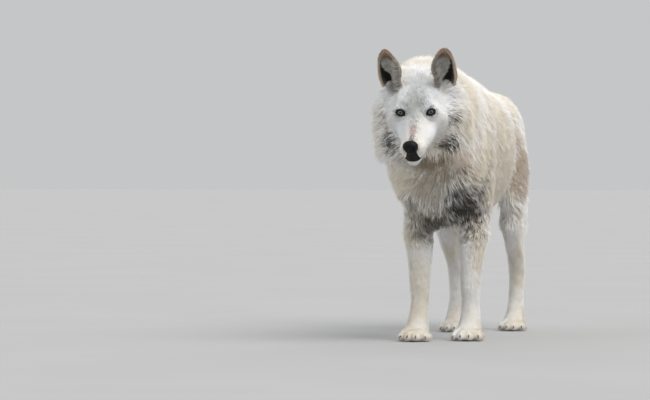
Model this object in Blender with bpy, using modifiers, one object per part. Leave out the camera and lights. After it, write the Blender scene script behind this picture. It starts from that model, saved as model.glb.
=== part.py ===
"""Arctic wolf standing with lowered head, life size, as a still museum model.

Metres, +Z up. The wolf stands on the floor z = 0 and faces -Y, with its left side towards +X.
The outer form of the coat is built whole from lofts and muscle masses, fused and smoothed, and then
parted by thin cuts into the pieces that a person would name. Eyes, nose, ears and claws are pieces
of their own, set in sockets.
"""

import math
from collections import namedtuple

import bmesh
import bpy
import numpy as np
from mathutils import Euler, Matrix, Vector

# Driving dimensions
SHOULDER_Y = -0.260  # transverse plane through both shoulder joints
HIP_Y = 0.375  # transverse plane through both hip joints
EYE_CENTRE = Vector((-0.007, -0.620, 0.648))  # midway between the eyes
HEAD_PITCH = math.radians(30.0)  # the muzzle points this far below the horizon
HEAD_YAW = math.radians(2.1)  # and this far towards the wolf's left
HEAD_ROLL = math.radians(1.0)  # and the left ear is this much the higher
EYE_SPACING = 0.086
EYE_RADIUS = 0.0125
EAR_THICKNESS = 0.0065
CLAW_LENGTH = 0.024
CLAW_RADIUS = 0.0042

# Resolution and clearances
VOXEL = 0.0042
BODY_TRIANGLES = 3600
CUT_GAP = 0.0003
SOCKET_GAP = 0.0004
RING_POINTS = 36
STEPS_PER_SPAN = 6
REGION_POINTS = 14

SIDES = {"left": 1.0, "right": -1.0}

Material = namedtuple("Material", "colour roughness")
FINISHES = {
    "coat": Material((0.80, 0.77, 0.71), 0.85),
    "eye": Material((0.20, 0.22, 0.18), 0.15),
    "nose_leather": Material((0.02, 0.02, 0.022), 0.45),
    "claw_horn": Material((0.07, 0.06, 0.055), 0.4),
}

# A ring of the trunk stands across the body at y, and is an ellipse, or a fuller curve above 2
Ring = namedtuple("Ring", "x y top bottom half_width fullness")
TRUNK = (
    Ring(-0.012, -0.464, 0.630, 0.460, 0.060, 2.0),  # prow of the chest
    Ring(-0.012, -0.446, 0.685, 0.416, 0.108, 2.2),
    Ring(-0.010, -0.400, 0.735, 0.368, 0.138, 2.3),
    Ring(-0.005, -0.330, 0.762, 0.332, 0.142, 2.2),  # shoulder blades
    Ring(0.000, -0.240, 0.776, 0.318, 0.140, 2.0),  # withers over the brisket
    Ring(0.000, -0.140, 0.765, 0.321, 0.140, 2.1),
    Ring(0.000, -0.030, 0.747, 0.332, 0.139, 2.1),  # deepest ribs
    Ring(0.000, 0.090, 0.736, 0.350, 0.132, 2.1),
    Ring(0.000, 0.200, 0.727, 0.384, 0.117, 2.1),  # loin over the tucked belly
    Ring(0.000, 0.300, 0.724, 0.418, 0.105, 2.3),
    Ring(0.000, 0.385, 0.717, 0.440, 0.100, 2.4),  # croup
    Ring(0.000, 0.450, 0.690, 0.462, 0.089, 2.3),
    Ring(0.000, 0.487, 0.648, 0.495, 0.066, 2.0),
    Ring(0.000, 0.497, 0.600, 0.540, 0.030, 2.0),  # point of the rump
)

# A ring of a limb lies across its path at (x, y, z), with its half-width and half-depth
Joint = namedtuple("Joint", "x y z half_width half_depth")
NECK = (
    Joint(0.000, -0.200, 0.605, 0.120, 0.160),
    Joint(-0.008, -0.310, 0.625, 0.133, 0.165),
    Joint(-0.017, -0.410, 0.638, 0.140, 0.163),
    Joint(-0.020, -0.480, 0.645, 0.136, 0.154),  # scruff over the mane
    Joint(-0.016, -0.535, 0.650, 0.118, 0.132),
    Joint(-0.012, -0.570, 0.652, 0.085, 0.095),
)
TAIL = (
    Joint(0.000, 0.410, 0.670, 0.040, 0.036),
    Joint(0.000, 0.470, 0.666, 0.042, 0.036),
    Joint(0.004, 0.522, 0.628, 0.045, 0.039),
    Joint(0.012, 0.556, 0.560, 0.049, 0.045),
    Joint(0.022, 0.573, 0.480, 0.052, 0.051),
    Joint(0.029, 0.577, 0.400, 0.048, 0.050),
    Joint(0.033, 0.573, 0.330, 0.039, 0.043),
    Joint(0.034, 0.567, 0.278, 0.027, 0.031),
    Joint(0.034, 0.564, 0.246, 0.010, 0.011),
)
# Joints of the limbs for a leg on the left, with y from the shoulder or hip, before it steps
FORELEG = (
    Joint(0.070, 0.030, 0.690, 0.034, 0.050),
    Joint(0.090, 0.010, 0.620, 0.044, 0.086),
    Joint(0.094, -0.015, 0.530, 0.050, 0.104),  # point of the shoulder
    Joint(0.088, 0.018, 0.450, 0.049, 0.090),
    Joint(0.079, 0.036, 0.385, 0.049, 0.070),  # elbow
    Joint(0.075, 0.022, 0.330, 0.047, 0.056),
    Joint(0.071, 0.010, 0.265, 0.0405, 0.045),
    Joint(0.068, 0.004, 0.205, 0.0345, 0.037),
    Joint(0.067, -0.002, 0.160, 0.0320, 0.034),  # wrist
    Joint(0.067, -0.004, 0.112, 0.0285, 0.0285),
    Joint(0.068, -0.014, 0.068, 0.0300, 0.0290),
    Joint(0.069, -0.026, 0.034, 0.0370, 0.0330),
)
HINDLEG = (
    Joint(0.050, 0.010, 0.655, 0.042, 0.080),  # hip
    Joint(0.062, -0.010, 0.570, 0.050, 0.112),
    Joint(0.081, -0.040, 0.490, 0.051, 0.112),
    Joint(0.087, -0.068, 0.420, 0.046, 0.090),  # stifle
    Joint(0.083, -0.056, 0.350, 0.0365, 0.064),
    Joint(0.081, -0.014, 0.283, 0.0310, 0.047),
    Joint(0.079, 0.034, 0.228, 0.0280, 0.038),
    Joint(0.079, 0.052, 0.188, 0.0280, 0.0350),  # hock
    Joint(0.079, 0.046, 0.140, 0.0255, 0.0275),
    Joint(0.079, 0.036, 0.095, 0.0250, 0.0255),
    Joint(0.080, 0.024, 0.060, 0.0275, 0.0270),
    Joint(0.080, 0.010, 0.033, 0.0340, 0.0320),
)
# How each leg stands: its knee and its paw have stepped back from the girdle, and outwards
Stance = namedtuple("Stance", "leg girdle_y knee_z knee_step paw_step knee_out paw_out")
STANCES = {
    ("fore", "right"): Stance(FORELEG, SHOULDER_Y, 0.40, -0.034, -0.038, 0.002, 0.000),
    ("fore", "left"): Stance(FORELEG, SHOULDER_Y, 0.40, 0.014, 0.032, 0.000, 0.000),
    ("hind", "right"): Stance(HINDLEG, HIP_Y, 0.34, -0.155, -0.122, 0.014, 0.003),
    ("hind", "left"): Stance(HINDLEG, HIP_Y, 0.34, -0.040, -0.012, 0.000, -0.006),
}
# A paw is a palm and four toes, sized from its half-width
Paw = namedtuple("Paw", "half_width length toe_height")
PAWS = {"fore": Paw(0.041, 0.104, 0.036), "hind": Paw(0.036, 0.096, 0.033)}

# A ring of the head, ahead of the eyes (or behind them, below 0), heights from the eye line
HeadRing = namedtuple("HeadRing", "ahead top bottom half_width fullness")
HEAD = (
    HeadRing(0.119, -0.041, -0.093, 0.0210, 2.2),
    HeadRing(0.110, -0.033, -0.103, 0.0275, 2.3),
    HeadRing(0.088, -0.026, -0.108, 0.0335, 2.4),  # whisker pads and chin
    HeadRing(0.060, -0.016, -0.110, 0.0370, 2.3),
    HeadRing(0.034, -0.004, -0.112, 0.0445, 2.3),
    HeadRing(0.012, 0.010, -0.113, 0.0540, 2.2),  # stop
    HeadRing(-0.012, 0.027, -0.112, 0.0660, 2.1),
    HeadRing(-0.042, 0.045, -0.114, 0.0800, 2.1),  # forehead
    HeadRing(-0.075, 0.059, -0.116, 0.0920, 2.1),
    HeadRing(-0.108, 0.068, -0.116, 0.0990, 2.0),  # crown
    HeadRing(-0.140, 0.067, -0.105, 0.0940, 2.0),
)
# A muscle or fur mass of the head: its centre is ahead of, beside and above the eyes' middle
Mass = namedtuple("Mass", "side ahead up across along high turn")
HEAD_PAIRS = (
    Mass(0.038, -0.009, 0.0150, 0.025, 0.018, 0.0105, 6),  # brow
    Mass(0.025, -0.046, 0.023, 0.037, 0.048, 0.0215, 0),  # frontal bulge
    Mass(0.057, -0.028, -0.034, 0.034, 0.046, 0.044, 0),  # cheekbone
    Mass(0.018, 0.090, -0.062, 0.0200, 0.031, 0.022, 0),  # whisker pad
    Mass(0.074, -0.122, 0.044, 0.034, 0.027, 0.038, 0),  # root of the ear
    Mass(0.093, -0.084, 0.016, 0.022, 0.028, 0.036, 0),  # fur before the ear
    Mass(0.092, -0.086, -0.046, 0.049, 0.052, 0.066, 0),  # ruff behind the cheek
    Mass(0.093, -0.078, -0.094, 0.051, 0.050, 0.066, 0),
    Mass(0.096, -0.064, -0.146, 0.053, 0.048, 0.058, 0),  # mane under the cheek
    Mass(0.035, -0.066, -0.134, 0.056, 0.046, 0.050, 0),
    Mass(0.025, -0.176, 0.028, 0.060, 0.064, 0.043, 0),  # mane that stands behind the crown
)
CHIN = Mass(0.0, 0.095, -0.102, 0.019, 0.024, 0.012, 0)
NOSE = Mass(0.0, 0.1204, -0.0470, 0.0195, 0.0165, 0.0195, 0)
# A row of the ear's cupped leaf: height over the eye line, its middle's place, and its hollow
EarRow = namedtuple("EarRow", "up across half_width hollow")
EAR = (
    EarRow(0.034, 0.0820, 0.0262, 0.024),
    EarRow(0.055, 0.0800, 0.0308, 0.023),
    EarRow(0.074, 0.0772, 0.0336, 0.020),
    EarRow(0.091, 0.0764, 0.0343, 0.0175),
    EarRow(0.106, 0.0772, 0.0320, 0.0145),
    EarRow(0.120, 0.0790, 0.0266, 0.0115),
    EarRow(0.132, 0.0810, 0.0196, 0.0085),
    EarRow(0.141, 0.0825, 0.0125, 0.0060),
    EarRow(0.147, 0.0832, 0.0050, 0.0045),
)
EAR_BEHIND = 0.078  # how far behind the eyes the rims of the ears stand
EAR_YAW = math.radians(9)  # how far each ear's hollow turns outwards
EAR_COLUMNS = 6

# Cuts between the pieces, each a point on the cut and the way its first side lies
NECK_CUT = (Vector((0, -0.385, 0.620)), Vector((0, -0.889, 0.458)))
HEAD_CUT = (Vector((0, -0.512, 0.650)), Vector((0, -0.982, -0.186)))
TAIL_CUT = (Vector((0, 0.503, 0.640)), Vector((0, 1, 0)))
CHEST_CUT = (Vector((0, -0.115, 0.500)), Vector((0, -1, 0)))
RUMP_CUT = (Vector((0, 0.225, 0.500)), Vector((0, 1, 0)))
MOUTH_CORNER_AHEAD = 0.014
MOUTH_LINE = -0.0850  # height of the closed lips below the eye line
ELBOW_CUT_Z = 0.312
KNEE_CUT_Z = 0.345
PAW_CUT_Z = 0.078


# The middle of the whole, which is brought over the origin at the end
MIDDLE = Vector((-0.0072, -0.0456, 0.0))


def clear_scene():
    """Removes every object of the file it is run in."""
    for old in list(bpy.data.objects):
        bpy.data.objects.remove(old, do_unlink=True)


def head_matrix():
    """Places the head's own axes: -Y along the muzzle and +Z through the crown."""
    turn = Euler((HEAD_PITCH, -HEAD_ROLL, HEAD_YAW), "XYZ").to_matrix().to_4x4()
    return Matrix.Translation(EYE_CENTRE) @ turn


def head_point(side, ahead, up):
    """A point of the head in the room, from its place beside, ahead of and above the eyes' middle."""
    return head_matrix() @ Vector((side, -ahead, up))


def new_object(name, bm):
    """Makes a linked mesh object of a finished bmesh."""
    mesh = bpy.data.meshes.new(name)
    bm.to_mesh(mesh)
    bm.free()
    obj = bpy.data.objects.new(name, mesh)
    bpy.context.scene.collection.objects.link(obj)
    return obj


def evaluated_copy(obj, name):
    """A new object whose mesh is obj with its modifiers applied, in the room's frame. obj is removed."""
    bpy.context.view_layer.update()
    graph = bpy.context.evaluated_depsgraph_get()
    mesh = bpy.data.meshes.new_from_object(obj.evaluated_get(graph))
    mesh.transform(obj.matrix_world)
    bpy.data.objects.remove(obj, do_unlink=True)
    made = bpy.data.objects.new(name, mesh)
    bpy.context.scene.collection.objects.link(made)
    return made


def smooth_rows(rows):
    """A Catmull-Rom curve through rows of numbers, with STEPS_PER_SPAN rows for each span."""
    rows = np.array(rows, float)
    padded = np.vstack([2 * rows[0] - rows[1], rows, 2 * rows[-1] - rows[-2]])
    out = []
    for i in range(1, len(rows)):
        p0, p1, p2, p3 = padded[i - 1 : i + 3]
        for t in np.arange(STEPS_PER_SPAN) / STEPS_PER_SPAN:
            out.append(
                p1
                + 0.5 * t * (p2 - p0)
                + t**2 * (p0 - 2.5 * p1 + 2 * p2 - 0.5 * p3)
                + t**3 * (1.5 * (p1 - p2) + 0.5 * (p3 - p0))
            )
    out.append(rows[-1])
    return np.array(out)


def superellipse(angle, half_width, half_height, fullness):
    """A point of an ellipse-like curve, fuller at its corners as fullness goes above 2."""
    c, s = math.cos(angle), math.sin(angle)
    return (
        half_width * math.copysign(abs(c) ** (2 / fullness), c),
        half_height * math.copysign(abs(s) ** (2 / fullness), s),
    )


def loft(name, rings):
    """A closed body over rings of points, with a cap at each end."""
    bm = bmesh.new()
    loops = [[bm.verts.new(p) for p in ring] for ring in rings]
    for near, far in zip(loops, loops[1:]):
        for i in range(len(near)):
            j = (i + 1) % len(near)
            bm.faces.new((near[i], near[j], far[j], far[i]))
    bm.faces.new(loops[0][::-1])
    bm.faces.new(loops[-1])
    bmesh.ops.recalc_face_normals(bm, faces=bm.faces)
    return new_object(name, bm)


def ring_angles():
    """Angles of the points round a ring."""
    return [2 * math.pi * i / RING_POINTS for i in range(RING_POINTS)]


def trunk_loft():
    """The barrel of the body from the chest's prow to the point of the rump."""
    rings = []
    for x, y, top, bottom, half_width, fullness in smooth_rows(TRUNK):
        middle, half = (top + bottom) / 2, (top - bottom) / 2
        ring = []
        for angle in ring_angles():
            across, up = superellipse(angle, half_width, half, fullness)
            ring.append((x + across, y, middle + up))
        rings.append(ring)
    return loft("trunk_mass", rings)


def limb_loft(name, joints):
    """A body whose rings lie square to the path through the joints, their width kept level."""
    rows = smooth_rows(joints)
    path = [Vector(row[:3]) for row in rows]
    rings = []
    for i, row in enumerate(rows):
        ahead = path[min(i + 1, len(path) - 1)] - path[max(i - 1, 0)]
        deep = ahead.normalized().cross(Vector((1, 0, 0))).normalized()
        wide = deep.cross(ahead.normalized()).normalized()
        ring = []
        for angle in ring_angles():
            a, b = superellipse(angle, row[3], row[4], 2.0)
            ring.append(path[i] + wide * a + deep * b)
        rings.append(ring)
    return loft(name, rings)


def head_loft():
    """The head from the front of the muzzle to the back of the crown."""
    rings = []
    for ahead, top, bottom, half_width, fullness in smooth_rows(HEAD):
        middle, half = (top + bottom) / 2, (top - bottom) / 2
        ring = []
        for angle in ring_angles():
            side, up = superellipse(angle, half_width, half, fullness)
            if up < 0:  # the jaw is narrower than the brow
                side *= 1 - 0.10 * (up / half) ** 2
            elif ahead > 0:  # and the bridge of the nose than the lips
                side *= 1 - 0.20 * (up / half)
            ring.append(head_point(side, ahead, middle + up))
        rings.append(ring)
    return loft("head_mass", rings)


def ball(name, place, radii, turn=None):
    """An ellipsoid from a sphere primitive, turned by a matrix if one is given."""
    bpy.ops.mesh.primitive_uv_sphere_add(segments=28, ring_count=18, radius=1.0)
    obj = bpy.context.object
    obj.name = name
    scale = Matrix.Diagonal((*radii, 1.0))
    obj.data.transform(Matrix.Translation(place) @ (turn or Matrix.Identity(4)) @ scale)
    return obj


def head_ball(name, mass, sign=1.0):
    """An ellipsoid in the head's axes."""
    spin = Matrix.Rotation(math.radians(mass.turn) * sign, 4, "Y")
    turn = head_matrix().to_3x3().to_4x4() @ spin
    place = head_point(mass.side * sign, mass.ahead, mass.up)
    return ball(name, place, (mass.across, mass.along, mass.high), turn)


def stance_joints(kind, side):
    """A leg's joints in the room: knee and paw have stepped, and the girdle has stayed."""
    stance, sign = STANCES[kind, side], SIDES[side]
    top, knee = stance.leg[0].z, stance.knee_z
    joints = []
    for joint in stance.leg:
        if joint.z > knee:
            share = (top - joint.z) / (top - knee)
            back, out = stance.knee_step * share, stance.knee_out * share
        else:
            share = joint.z / knee
            back = stance.knee_step * share + stance.paw_step * (1 - share)
            out = stance.knee_out * share + stance.paw_out * (1 - share)
        place = (sign * (joint.x + out), stance.girdle_y + joint.y + back)
        joints.append(joint._replace(x=place[0], y=place[1]))
    return joints


def toe_places(kind, side):
    """Each toe's centre and the way it points, for the four toes of a paw."""
    paw, palm = PAWS[kind], stance_joints(kind, side)[-1]
    for slot in (-1.5, -0.5, 0.5, 1.5):
        inner = abs(slot) < 1
        spread = math.radians(9.0 * slot)
        x = palm.x + slot * paw.half_width * 0.50
        y = palm.y - paw.length * (0.50 if inner else 0.335)
        yield Vector((x, y, paw.toe_height * 0.50)), spread, inner


def paw_masses(kind, side):
    """The palm and the four toes of one paw."""
    paw, palm = PAWS[kind], stance_joints(kind, side)[-1]
    name = f"{kind}paw_{side}_mass"
    middle = Vector((palm.x, palm.y - paw.length * 0.14, paw.toe_height * 0.62))
    radii = (paw.half_width * 0.93, paw.length * 0.36, paw.toe_height * 0.80)
    masses = [ball(name, middle, radii)]
    for place, spread, _ in toe_places(kind, side):
        turn = Matrix.Rotation(spread, 4, "Z") @ Matrix.Rotation(
            math.radians(8), 4, "X"
        )
        radii = (paw.half_width * 0.29, paw.length * 0.25, paw.toe_height * 0.60)
        masses.append(ball(name, place, radii, turn))
    return masses


def fused_body():
    """All masses fused into one smooth closed skin, standing flat on the floor."""
    masses = [trunk_loft(), limb_loft("neck_mass", NECK), limb_loft("tail_mass", TAIL)]
    masses += [head_loft(), head_ball("chin_mass", CHIN)]
    for sign in SIDES.values():
        masses += [head_ball("head_pair_mass", mass, sign) for mass in HEAD_PAIRS]
    for kind, side in STANCES:
        masses.append(limb_loft(f"{kind}leg_{side}_mass", stance_joints(kind, side)))
        masses += paw_masses(kind, side)
    whole = joined("body_mass", masses)
    fuse = whole.modifiers.new("fuse", "REMESH")
    fuse.mode = "VOXEL"
    fuse.voxel_size = VOXEL
    body = evaluated_copy(whole, "body_fused")
    torso = body.vertex_groups.new(name="torso")
    for vertex in body.data.vertices:
        torso.add([vertex.index], torso_share(vertex.co), "REPLACE")
    soften = body.modifiers.new("soften junctions", "SMOOTH")
    soften.factor = 0.5
    soften.iterations = 20
    soften.vertex_group = torso.name
    settle = body.modifiers.new("settle all over", "SMOOTH")
    settle.factor = 0.5
    settle.iterations = 14
    body = evaluated_copy(body, "body_soft")
    thin_out(body)
    standing = bisected(body, Vector((0, 0, 0)), Vector((0, 0, 1)), keep_front=True)
    bpy.data.objects.remove(body, do_unlink=True)
    return standing


def torso_share(point):
    """1 on the trunk and legs, fading to 0 towards the face and the toes."""
    legs = min(1.0, max(0.0, (point.z - 0.07) / 0.10))
    face = min(1.0, max(0.0, (point.y + 0.575) / 0.06))
    return legs * face


def thin_out(body):
    """Spends the triangles where the form is small: most on the face, fewest on the trunk."""
    plain = body.vertex_groups.new(name="plain form")
    for vertex in body.data.vertices:
        fine, coarse = (0.62, 0.72) if vertex.co.z < 0.3 else (0.33, 0.88)
        share = torso_share(vertex.co)
        plain.add([vertex.index], fine + (coarse - fine) * share, "REPLACE")
    triangulate = body.modifiers.new("triangles", "TRIANGULATE")
    triangulate.quad_method = "SHORTEST_DIAGONAL"
    thin = body.modifiers.new("thin out", "DECIMATE")
    thin.ratio = BODY_TRIANGLES / (2 * len(body.data.polygons))
    thin.vertex_group = plain.name
    thin.vertex_group_factor = 1.0


def joined(name, objects):
    """Joins objects whose meshes are in the room's frame into one."""
    bm = bmesh.new()
    for obj in objects:
        bm.from_mesh(obj.data)
        bpy.data.objects.remove(obj, do_unlink=True)
    return new_object(name, bm)


def bisected(obj, point, normal, keep_front):
    """The part of obj on one side of a plane, closed with a flat face. obj is left as it is."""
    bpy.context.view_layer.update()
    graph = bpy.context.evaluated_depsgraph_get()
    bm = bmesh.new()
    bm.from_object(obj, graph)
    bmesh.ops.transform(bm, matrix=obj.matrix_world, verts=bm.verts)
    geometry = bm.verts[:] + bm.edges[:] + bm.faces[:]
    cut = bmesh.ops.bisect_plane(
        bm,
        geom=geometry,
        dist=1e-6,
        plane_co=point,
        plane_no=normal,
        clear_inner=keep_front,
        clear_outer=not keep_front,
    )
    rim = [e for e in cut["geom_cut"] if isinstance(e, bmesh.types.BMEdge)]
    rim = [e for e in rim if e.is_valid and e.is_boundary]
    if rim:
        bmesh.ops.triangle_fill(bm, edges=rim, use_beauty=True)
    bmesh.ops.recalc_face_normals(bm, faces=bm.faces)
    return new_object(obj.name + "_side", bm)


def parted(obj, cut, front_name, back_name):
    """Cuts obj in two along a plane, with CUT_GAP between the halves. obj is removed."""
    point, normal = cut
    shift = normal.normalized() * CUT_GAP / 2
    front = bisected(obj, point + shift, normal, keep_front=True)
    back = bisected(obj, point - shift, normal, keep_front=False)
    bpy.data.objects.remove(obj, do_unlink=True)
    front.name, back.name = front_name, back_name
    return front, back


def grown(obj, gap):
    """A copy of obj whose surface stands off by gap, as a cutter."""
    bm = bmesh.new()
    bm.from_mesh(obj.data)
    bmesh.ops.recalc_face_normals(bm, faces=bm.faces)
    bm.normal_update()
    for vertex in bm.verts:
        vertex.co += vertex.normal * gap * min(2.0, vertex.calc_shell_factor())
    return new_object(obj.name + "_cutter", bm)


def boolean(obj, other, operation):
    """obj with other cut away from it or shared with it, as a new object. obj is removed."""
    modifier = obj.modifiers.new(operation.lower(), "BOOLEAN")
    modifier.operation = operation
    modifier.object = other
    return evaluated_copy(obj, obj.name)


def leg_region(kind, side):
    """The convex space that one leg takes from the body, from the girdle to the floor."""
    stance, sign = STANCES[kind, side], SIDES[side]
    joints = stance_joints(kind, side)
    shoulder = kind == "fore"
    discs = (
        ((joints[1].y, 0.575 if shoulder else 0.560), 0.105 if shoulder else 0.118),
        ((joints[3].y, 0.440 if shoulder else 0.430), 0.100 if shoulder else 0.092),
    )
    inner_top, inner_bottom, outer = 0.083 if shoulder else 0.074, 0.003, 0.30
    lean_top, lean_bottom = 0.66, 0.32 if shoulder else 0.40
    bm = bmesh.new()
    for (y, z), radius in discs:
        for i in range(REGION_POINTS):
            angle = 2 * math.pi * i / REGION_POINTS
            dy, dz = radius * math.cos(angle), radius * math.sin(angle)
            share = min(
                1.0, max(0.0, (z + dz - lean_bottom) / (lean_top - lean_bottom))
            )
            inner = inner_bottom + (inner_top - inner_bottom) * share
            bm.verts.new((inner * sign, y + dy, z + dz))
            bm.verts.new((outer * sign, y + dy, z + dz))
    for y in (joints[-1].y - 0.17, joints[7].y + 0.15):
        for x in (inner_bottom * sign, outer * sign):
            bm.verts.new((x, y, -0.05))
    hull = bmesh.ops.convex_hull(bm, input=bm.verts)
    loose = [
        v for v in hull["geom_interior"] if isinstance(v, bmesh.types.BMVert)
    ]
    bmesh.ops.delete(bm, geom=loose, context="VERTS")
    bmesh.ops.recalc_face_normals(bm, faces=bm.faces)
    return new_object(f"{kind}_{side}_region", bm)


def copy_of(obj, name):
    """A free copy of obj with its own mesh."""
    made = bpy.data.objects.new(name, obj.data.copy())
    bpy.context.scene.collection.objects.link(made)
    return made


def part_legs(body):
    """Takes each leg from the body and cuts it at the elbow or knee and above the paw."""
    names = {"fore": ("shoulder", "forearm", "forepaw"), "hind": ("thigh", "shank", "hindpaw")}
    for kind, side in STANCES:
        region = leg_region(kind, side)
        leg = boolean(copy_of(body, f"{kind}leg_{side}"), region, "INTERSECT")
        room = grown(region, SOCKET_GAP)
        body = boolean(body, room, "DIFFERENCE")
        for cutter in (region, room):
            bpy.data.objects.remove(cutter, do_unlink=True)
        upper, middle, paw = (f"{name}_{side}" for name in names[kind])
        knee_z = ELBOW_CUT_Z if kind == "fore" else KNEE_CUT_Z
        slope = Vector((0, 0, 1)) if kind == "fore" else Vector((0, -0.35, 1)).normalized()
        knee = min(stance_joints(kind, side), key=lambda j: abs(j.z - knee_z))
        cut = (Vector((0, knee.y, knee_z)), slope)
        _, lower = parted(leg, cut, upper, "lower_leg")
        parted(lower, (Vector((0, 0, PAW_CUT_Z)), Vector((0, 0, 1))), middle, paw)
    return body


def part_body(body):
    """Parts the legless body into tail, head with its jaws, neck, chest, barrel and rump."""
    front, rest = parted(body, NECK_CUT, "front", "rest")
    head, _ = parted(front, HEAD_CUT, "head_whole", "neck")
    _, rest = parted(rest, TAIL_CUT, "tail", "rest")
    _, rest = parted(rest, CHEST_CUT, "chest", "rest")
    parted(rest, RUMP_CUT, "rump", "barrel")
    turn = head_matrix().to_3x3()
    slant = turn @ Vector((0, -0.996, -0.087))
    corner = (head_point(0, MOUTH_CORNER_AHEAD, MOUTH_LINE), slant)
    jaws, head = parted(head, corner, "jaws", "head")
    lips = (head_point(0, 0, MOUTH_LINE), turn @ Vector((0, 0, 1)))
    parted(jaws, lips, "muzzle", "lower_jaw")


def set_in(hosts, guests):
    """Cuts a socket for each guest in each host that it reaches into."""
    for guest in guests:
        bm = bmesh.new()
        bm.from_mesh(guest.data)
        bmesh.ops.triangulate(bm, faces=bm.faces)
        bm.to_mesh(guest.data)
        bm.free()
    for host_name in hosts:
        host = bpy.data.objects[host_name]
        for guest in guests:
            room = grown(guest, SOCKET_GAP)
            host = boolean(host, room, "DIFFERENCE")
            bpy.data.objects.remove(room, do_unlink=True)


def eyes():
    """The two eyeballs, set under the brows."""
    made = []
    for side, sign in SIDES.items():
        place = head_point(EYE_SPACING / 2 * sign, 0.002, -0.002)
        bpy.ops.mesh.primitive_ico_sphere_add(subdivisions=2, radius=EYE_RADIUS)
        eye = bpy.context.object
        eye.name = f"eye_{side}"
        eye.data.transform(Matrix.Translation(place))
        made.append(eye)
    return made


def nose():
    """The bare leather of the nose: a ball, broad above, pinched towards the lip."""
    bpy.ops.mesh.primitive_uv_sphere_add(segments=12, ring_count=8, radius=1.0)
    obj = bpy.context.object
    obj.name = "nose"
    for vertex in obj.data.vertices:
        x, y, z = vertex.co
        pinch = 1 - 0.28 * max(0.0, -z) ** 1.5
        vertex.co = head_point(
            NOSE.side + x * NOSE.across * pinch,
            NOSE.ahead - y * NOSE.along,
            NOSE.up + z * NOSE.high,
        )
    return obj


def ears():
    """Two cupped ears: an open leaf with a rounded tip, thickened, its hollow facing ahead."""
    made = []
    for side, sign in SIDES.items():
        bm = bmesh.new()
        grid = []
        turn = Matrix.Rotation(EAR_YAW * sign, 3, "Z")
        for row in EAR:
            line = []
            for j in range(EAR_COLUMNS + 1):
                u = 2 * j / EAR_COLUMNS - 1
                back = row.hollow * (1 - u * u)
                offset = turn @ Vector((row.half_width * u, back, 0))
                place = Vector((row.across * sign, EAR_BEHIND, row.up)) + offset
                line.append(bm.verts.new(head_matrix() @ place))
            grid.append(line)
        for low, high in zip(grid, grid[1:]):
            for j in range(EAR_COLUMNS):
                bm.faces.new((low[j], low[j + 1], high[j + 1], high[j]))
        ear = new_object(f"ear_{side}", bm)
        wall = ear.modifiers.new("ear wall", "SOLIDIFY")
        wall.thickness = EAR_THICKNESS
        wall.offset = 0.0
        made.append(evaluated_copy(ear, f"ear_{side}"))
    return made


def claws(kind, side):
    """Four curved claws of one paw, each tapering forward and down from its toe."""
    paw = PAWS[kind]
    made = []
    for number, (place, spread, inner) in enumerate(toe_places(kind, side), 1):
        bpy.ops.mesh.primitive_cone_add(
            vertices=6, radius1=CLAW_RADIUS, radius2=0.0008, depth=CLAW_LENGTH
        )
        claw = bpy.context.object
        claw.name = f"{kind}claw_{side}_{number}"
        bm = bmesh.new()
        bm.from_mesh(claw.data)
        bmesh.ops.transform(bm, matrix=Matrix.Rotation(math.radians(90), 4, "X"), verts=bm.verts)
        long_edges = [
            e
            for e in bm.edges
            if abs(e.verts[0].co.y - e.verts[1].co.y) > CLAW_LENGTH / 2
        ]
        bmesh.ops.subdivide_edges(bm, edges=long_edges, cuts=1, use_grid_fill=True)
        for vertex in bm.verts:
            ahead = 0.5 - vertex.co.y / CLAW_LENGTH
            vertex.co.z = vertex.co.z * 1.25 - 0.0085 * ahead**2
        reach = paw.length * 0.235
        down = Vector((0, -reach, 0.0005 if inner else -0.0005))
        turn = Matrix.Rotation(spread, 4, "Z")
        bmesh.ops.transform(bm, matrix=Matrix.Translation(place + turn @ down) @ turn, verts=bm.verts)
        bmesh.ops.recalc_face_normals(bm, faces=bm.faces)
        bm.to_mesh(claw.data)
        bm.free()
        made.append(claw)
    return made


def finish_material(name):
    """A plain Principled finish from FINISHES."""
    found = bpy.data.materials.get(name)
    if found:
        return found
    made = bpy.data.materials.new(name)
    made.use_nodes = True
    shader = made.node_tree.nodes["Principled BSDF"]
    shader.inputs["Base Color"].default_value = (*FINISHES[name].colour, 1.0)
    shader.inputs["Roughness"].default_value = FINISHES[name].roughness
    return made


def dress():
    """Gives each piece its finish and moves all of them into the wolf's own collection."""
    wolf = bpy.data.collections.new("arctic_wolf")
    bpy.context.scene.collection.children.link(wolf)
    for obj in list(bpy.context.scene.objects):
        obj.data.transform(Matrix.Translation(-MIDDLE))
        kind = obj.name.split("_")[0]
        finish = "eye" if kind == "eye" else "nose_leather" if kind == "nose" else "coat"
        if kind.endswith("claw"):
            finish = "claw_horn"
        obj.data.materials.clear()
        obj.data.materials.append(finish_material(finish))
        for collection in list(obj.users_collection):
            collection.objects.unlink(obj)
        wolf.objects.link(obj)


def main():
    """Builds the wolf."""
    clear_scene()
    body = fused_body()
    body = part_legs(body)
    part_body(body)
    set_in(["head"], eyes() + ears())
    set_in(["muzzle", "lower_jaw"], [nose()])
    for kind, side in STANCES:
        set_in([f"{kind}paw_{side}"], claws(kind, side))
    dress()


main()
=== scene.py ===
"""A standing arctic wolf, life size, dressed over its fixed frame.

One skin covers the flesh. Over it grows a coat of joined tufts, and the ears, eyes, lids, nose, lips,
whiskers and claws are pieces of their own. A plain studio stands round it.
"""

import logging
import math
from dataclasses import dataclass, field
from enum import Enum
from typing import Any, Callable, Iterable, Iterator, Sequence

import bmesh
import bpy
import numpy as np
from mathutils import Euler, Matrix, Vector
from mathutils.bvhtree import BVHTree
from mathutils.kdtree import KDTree


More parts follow.
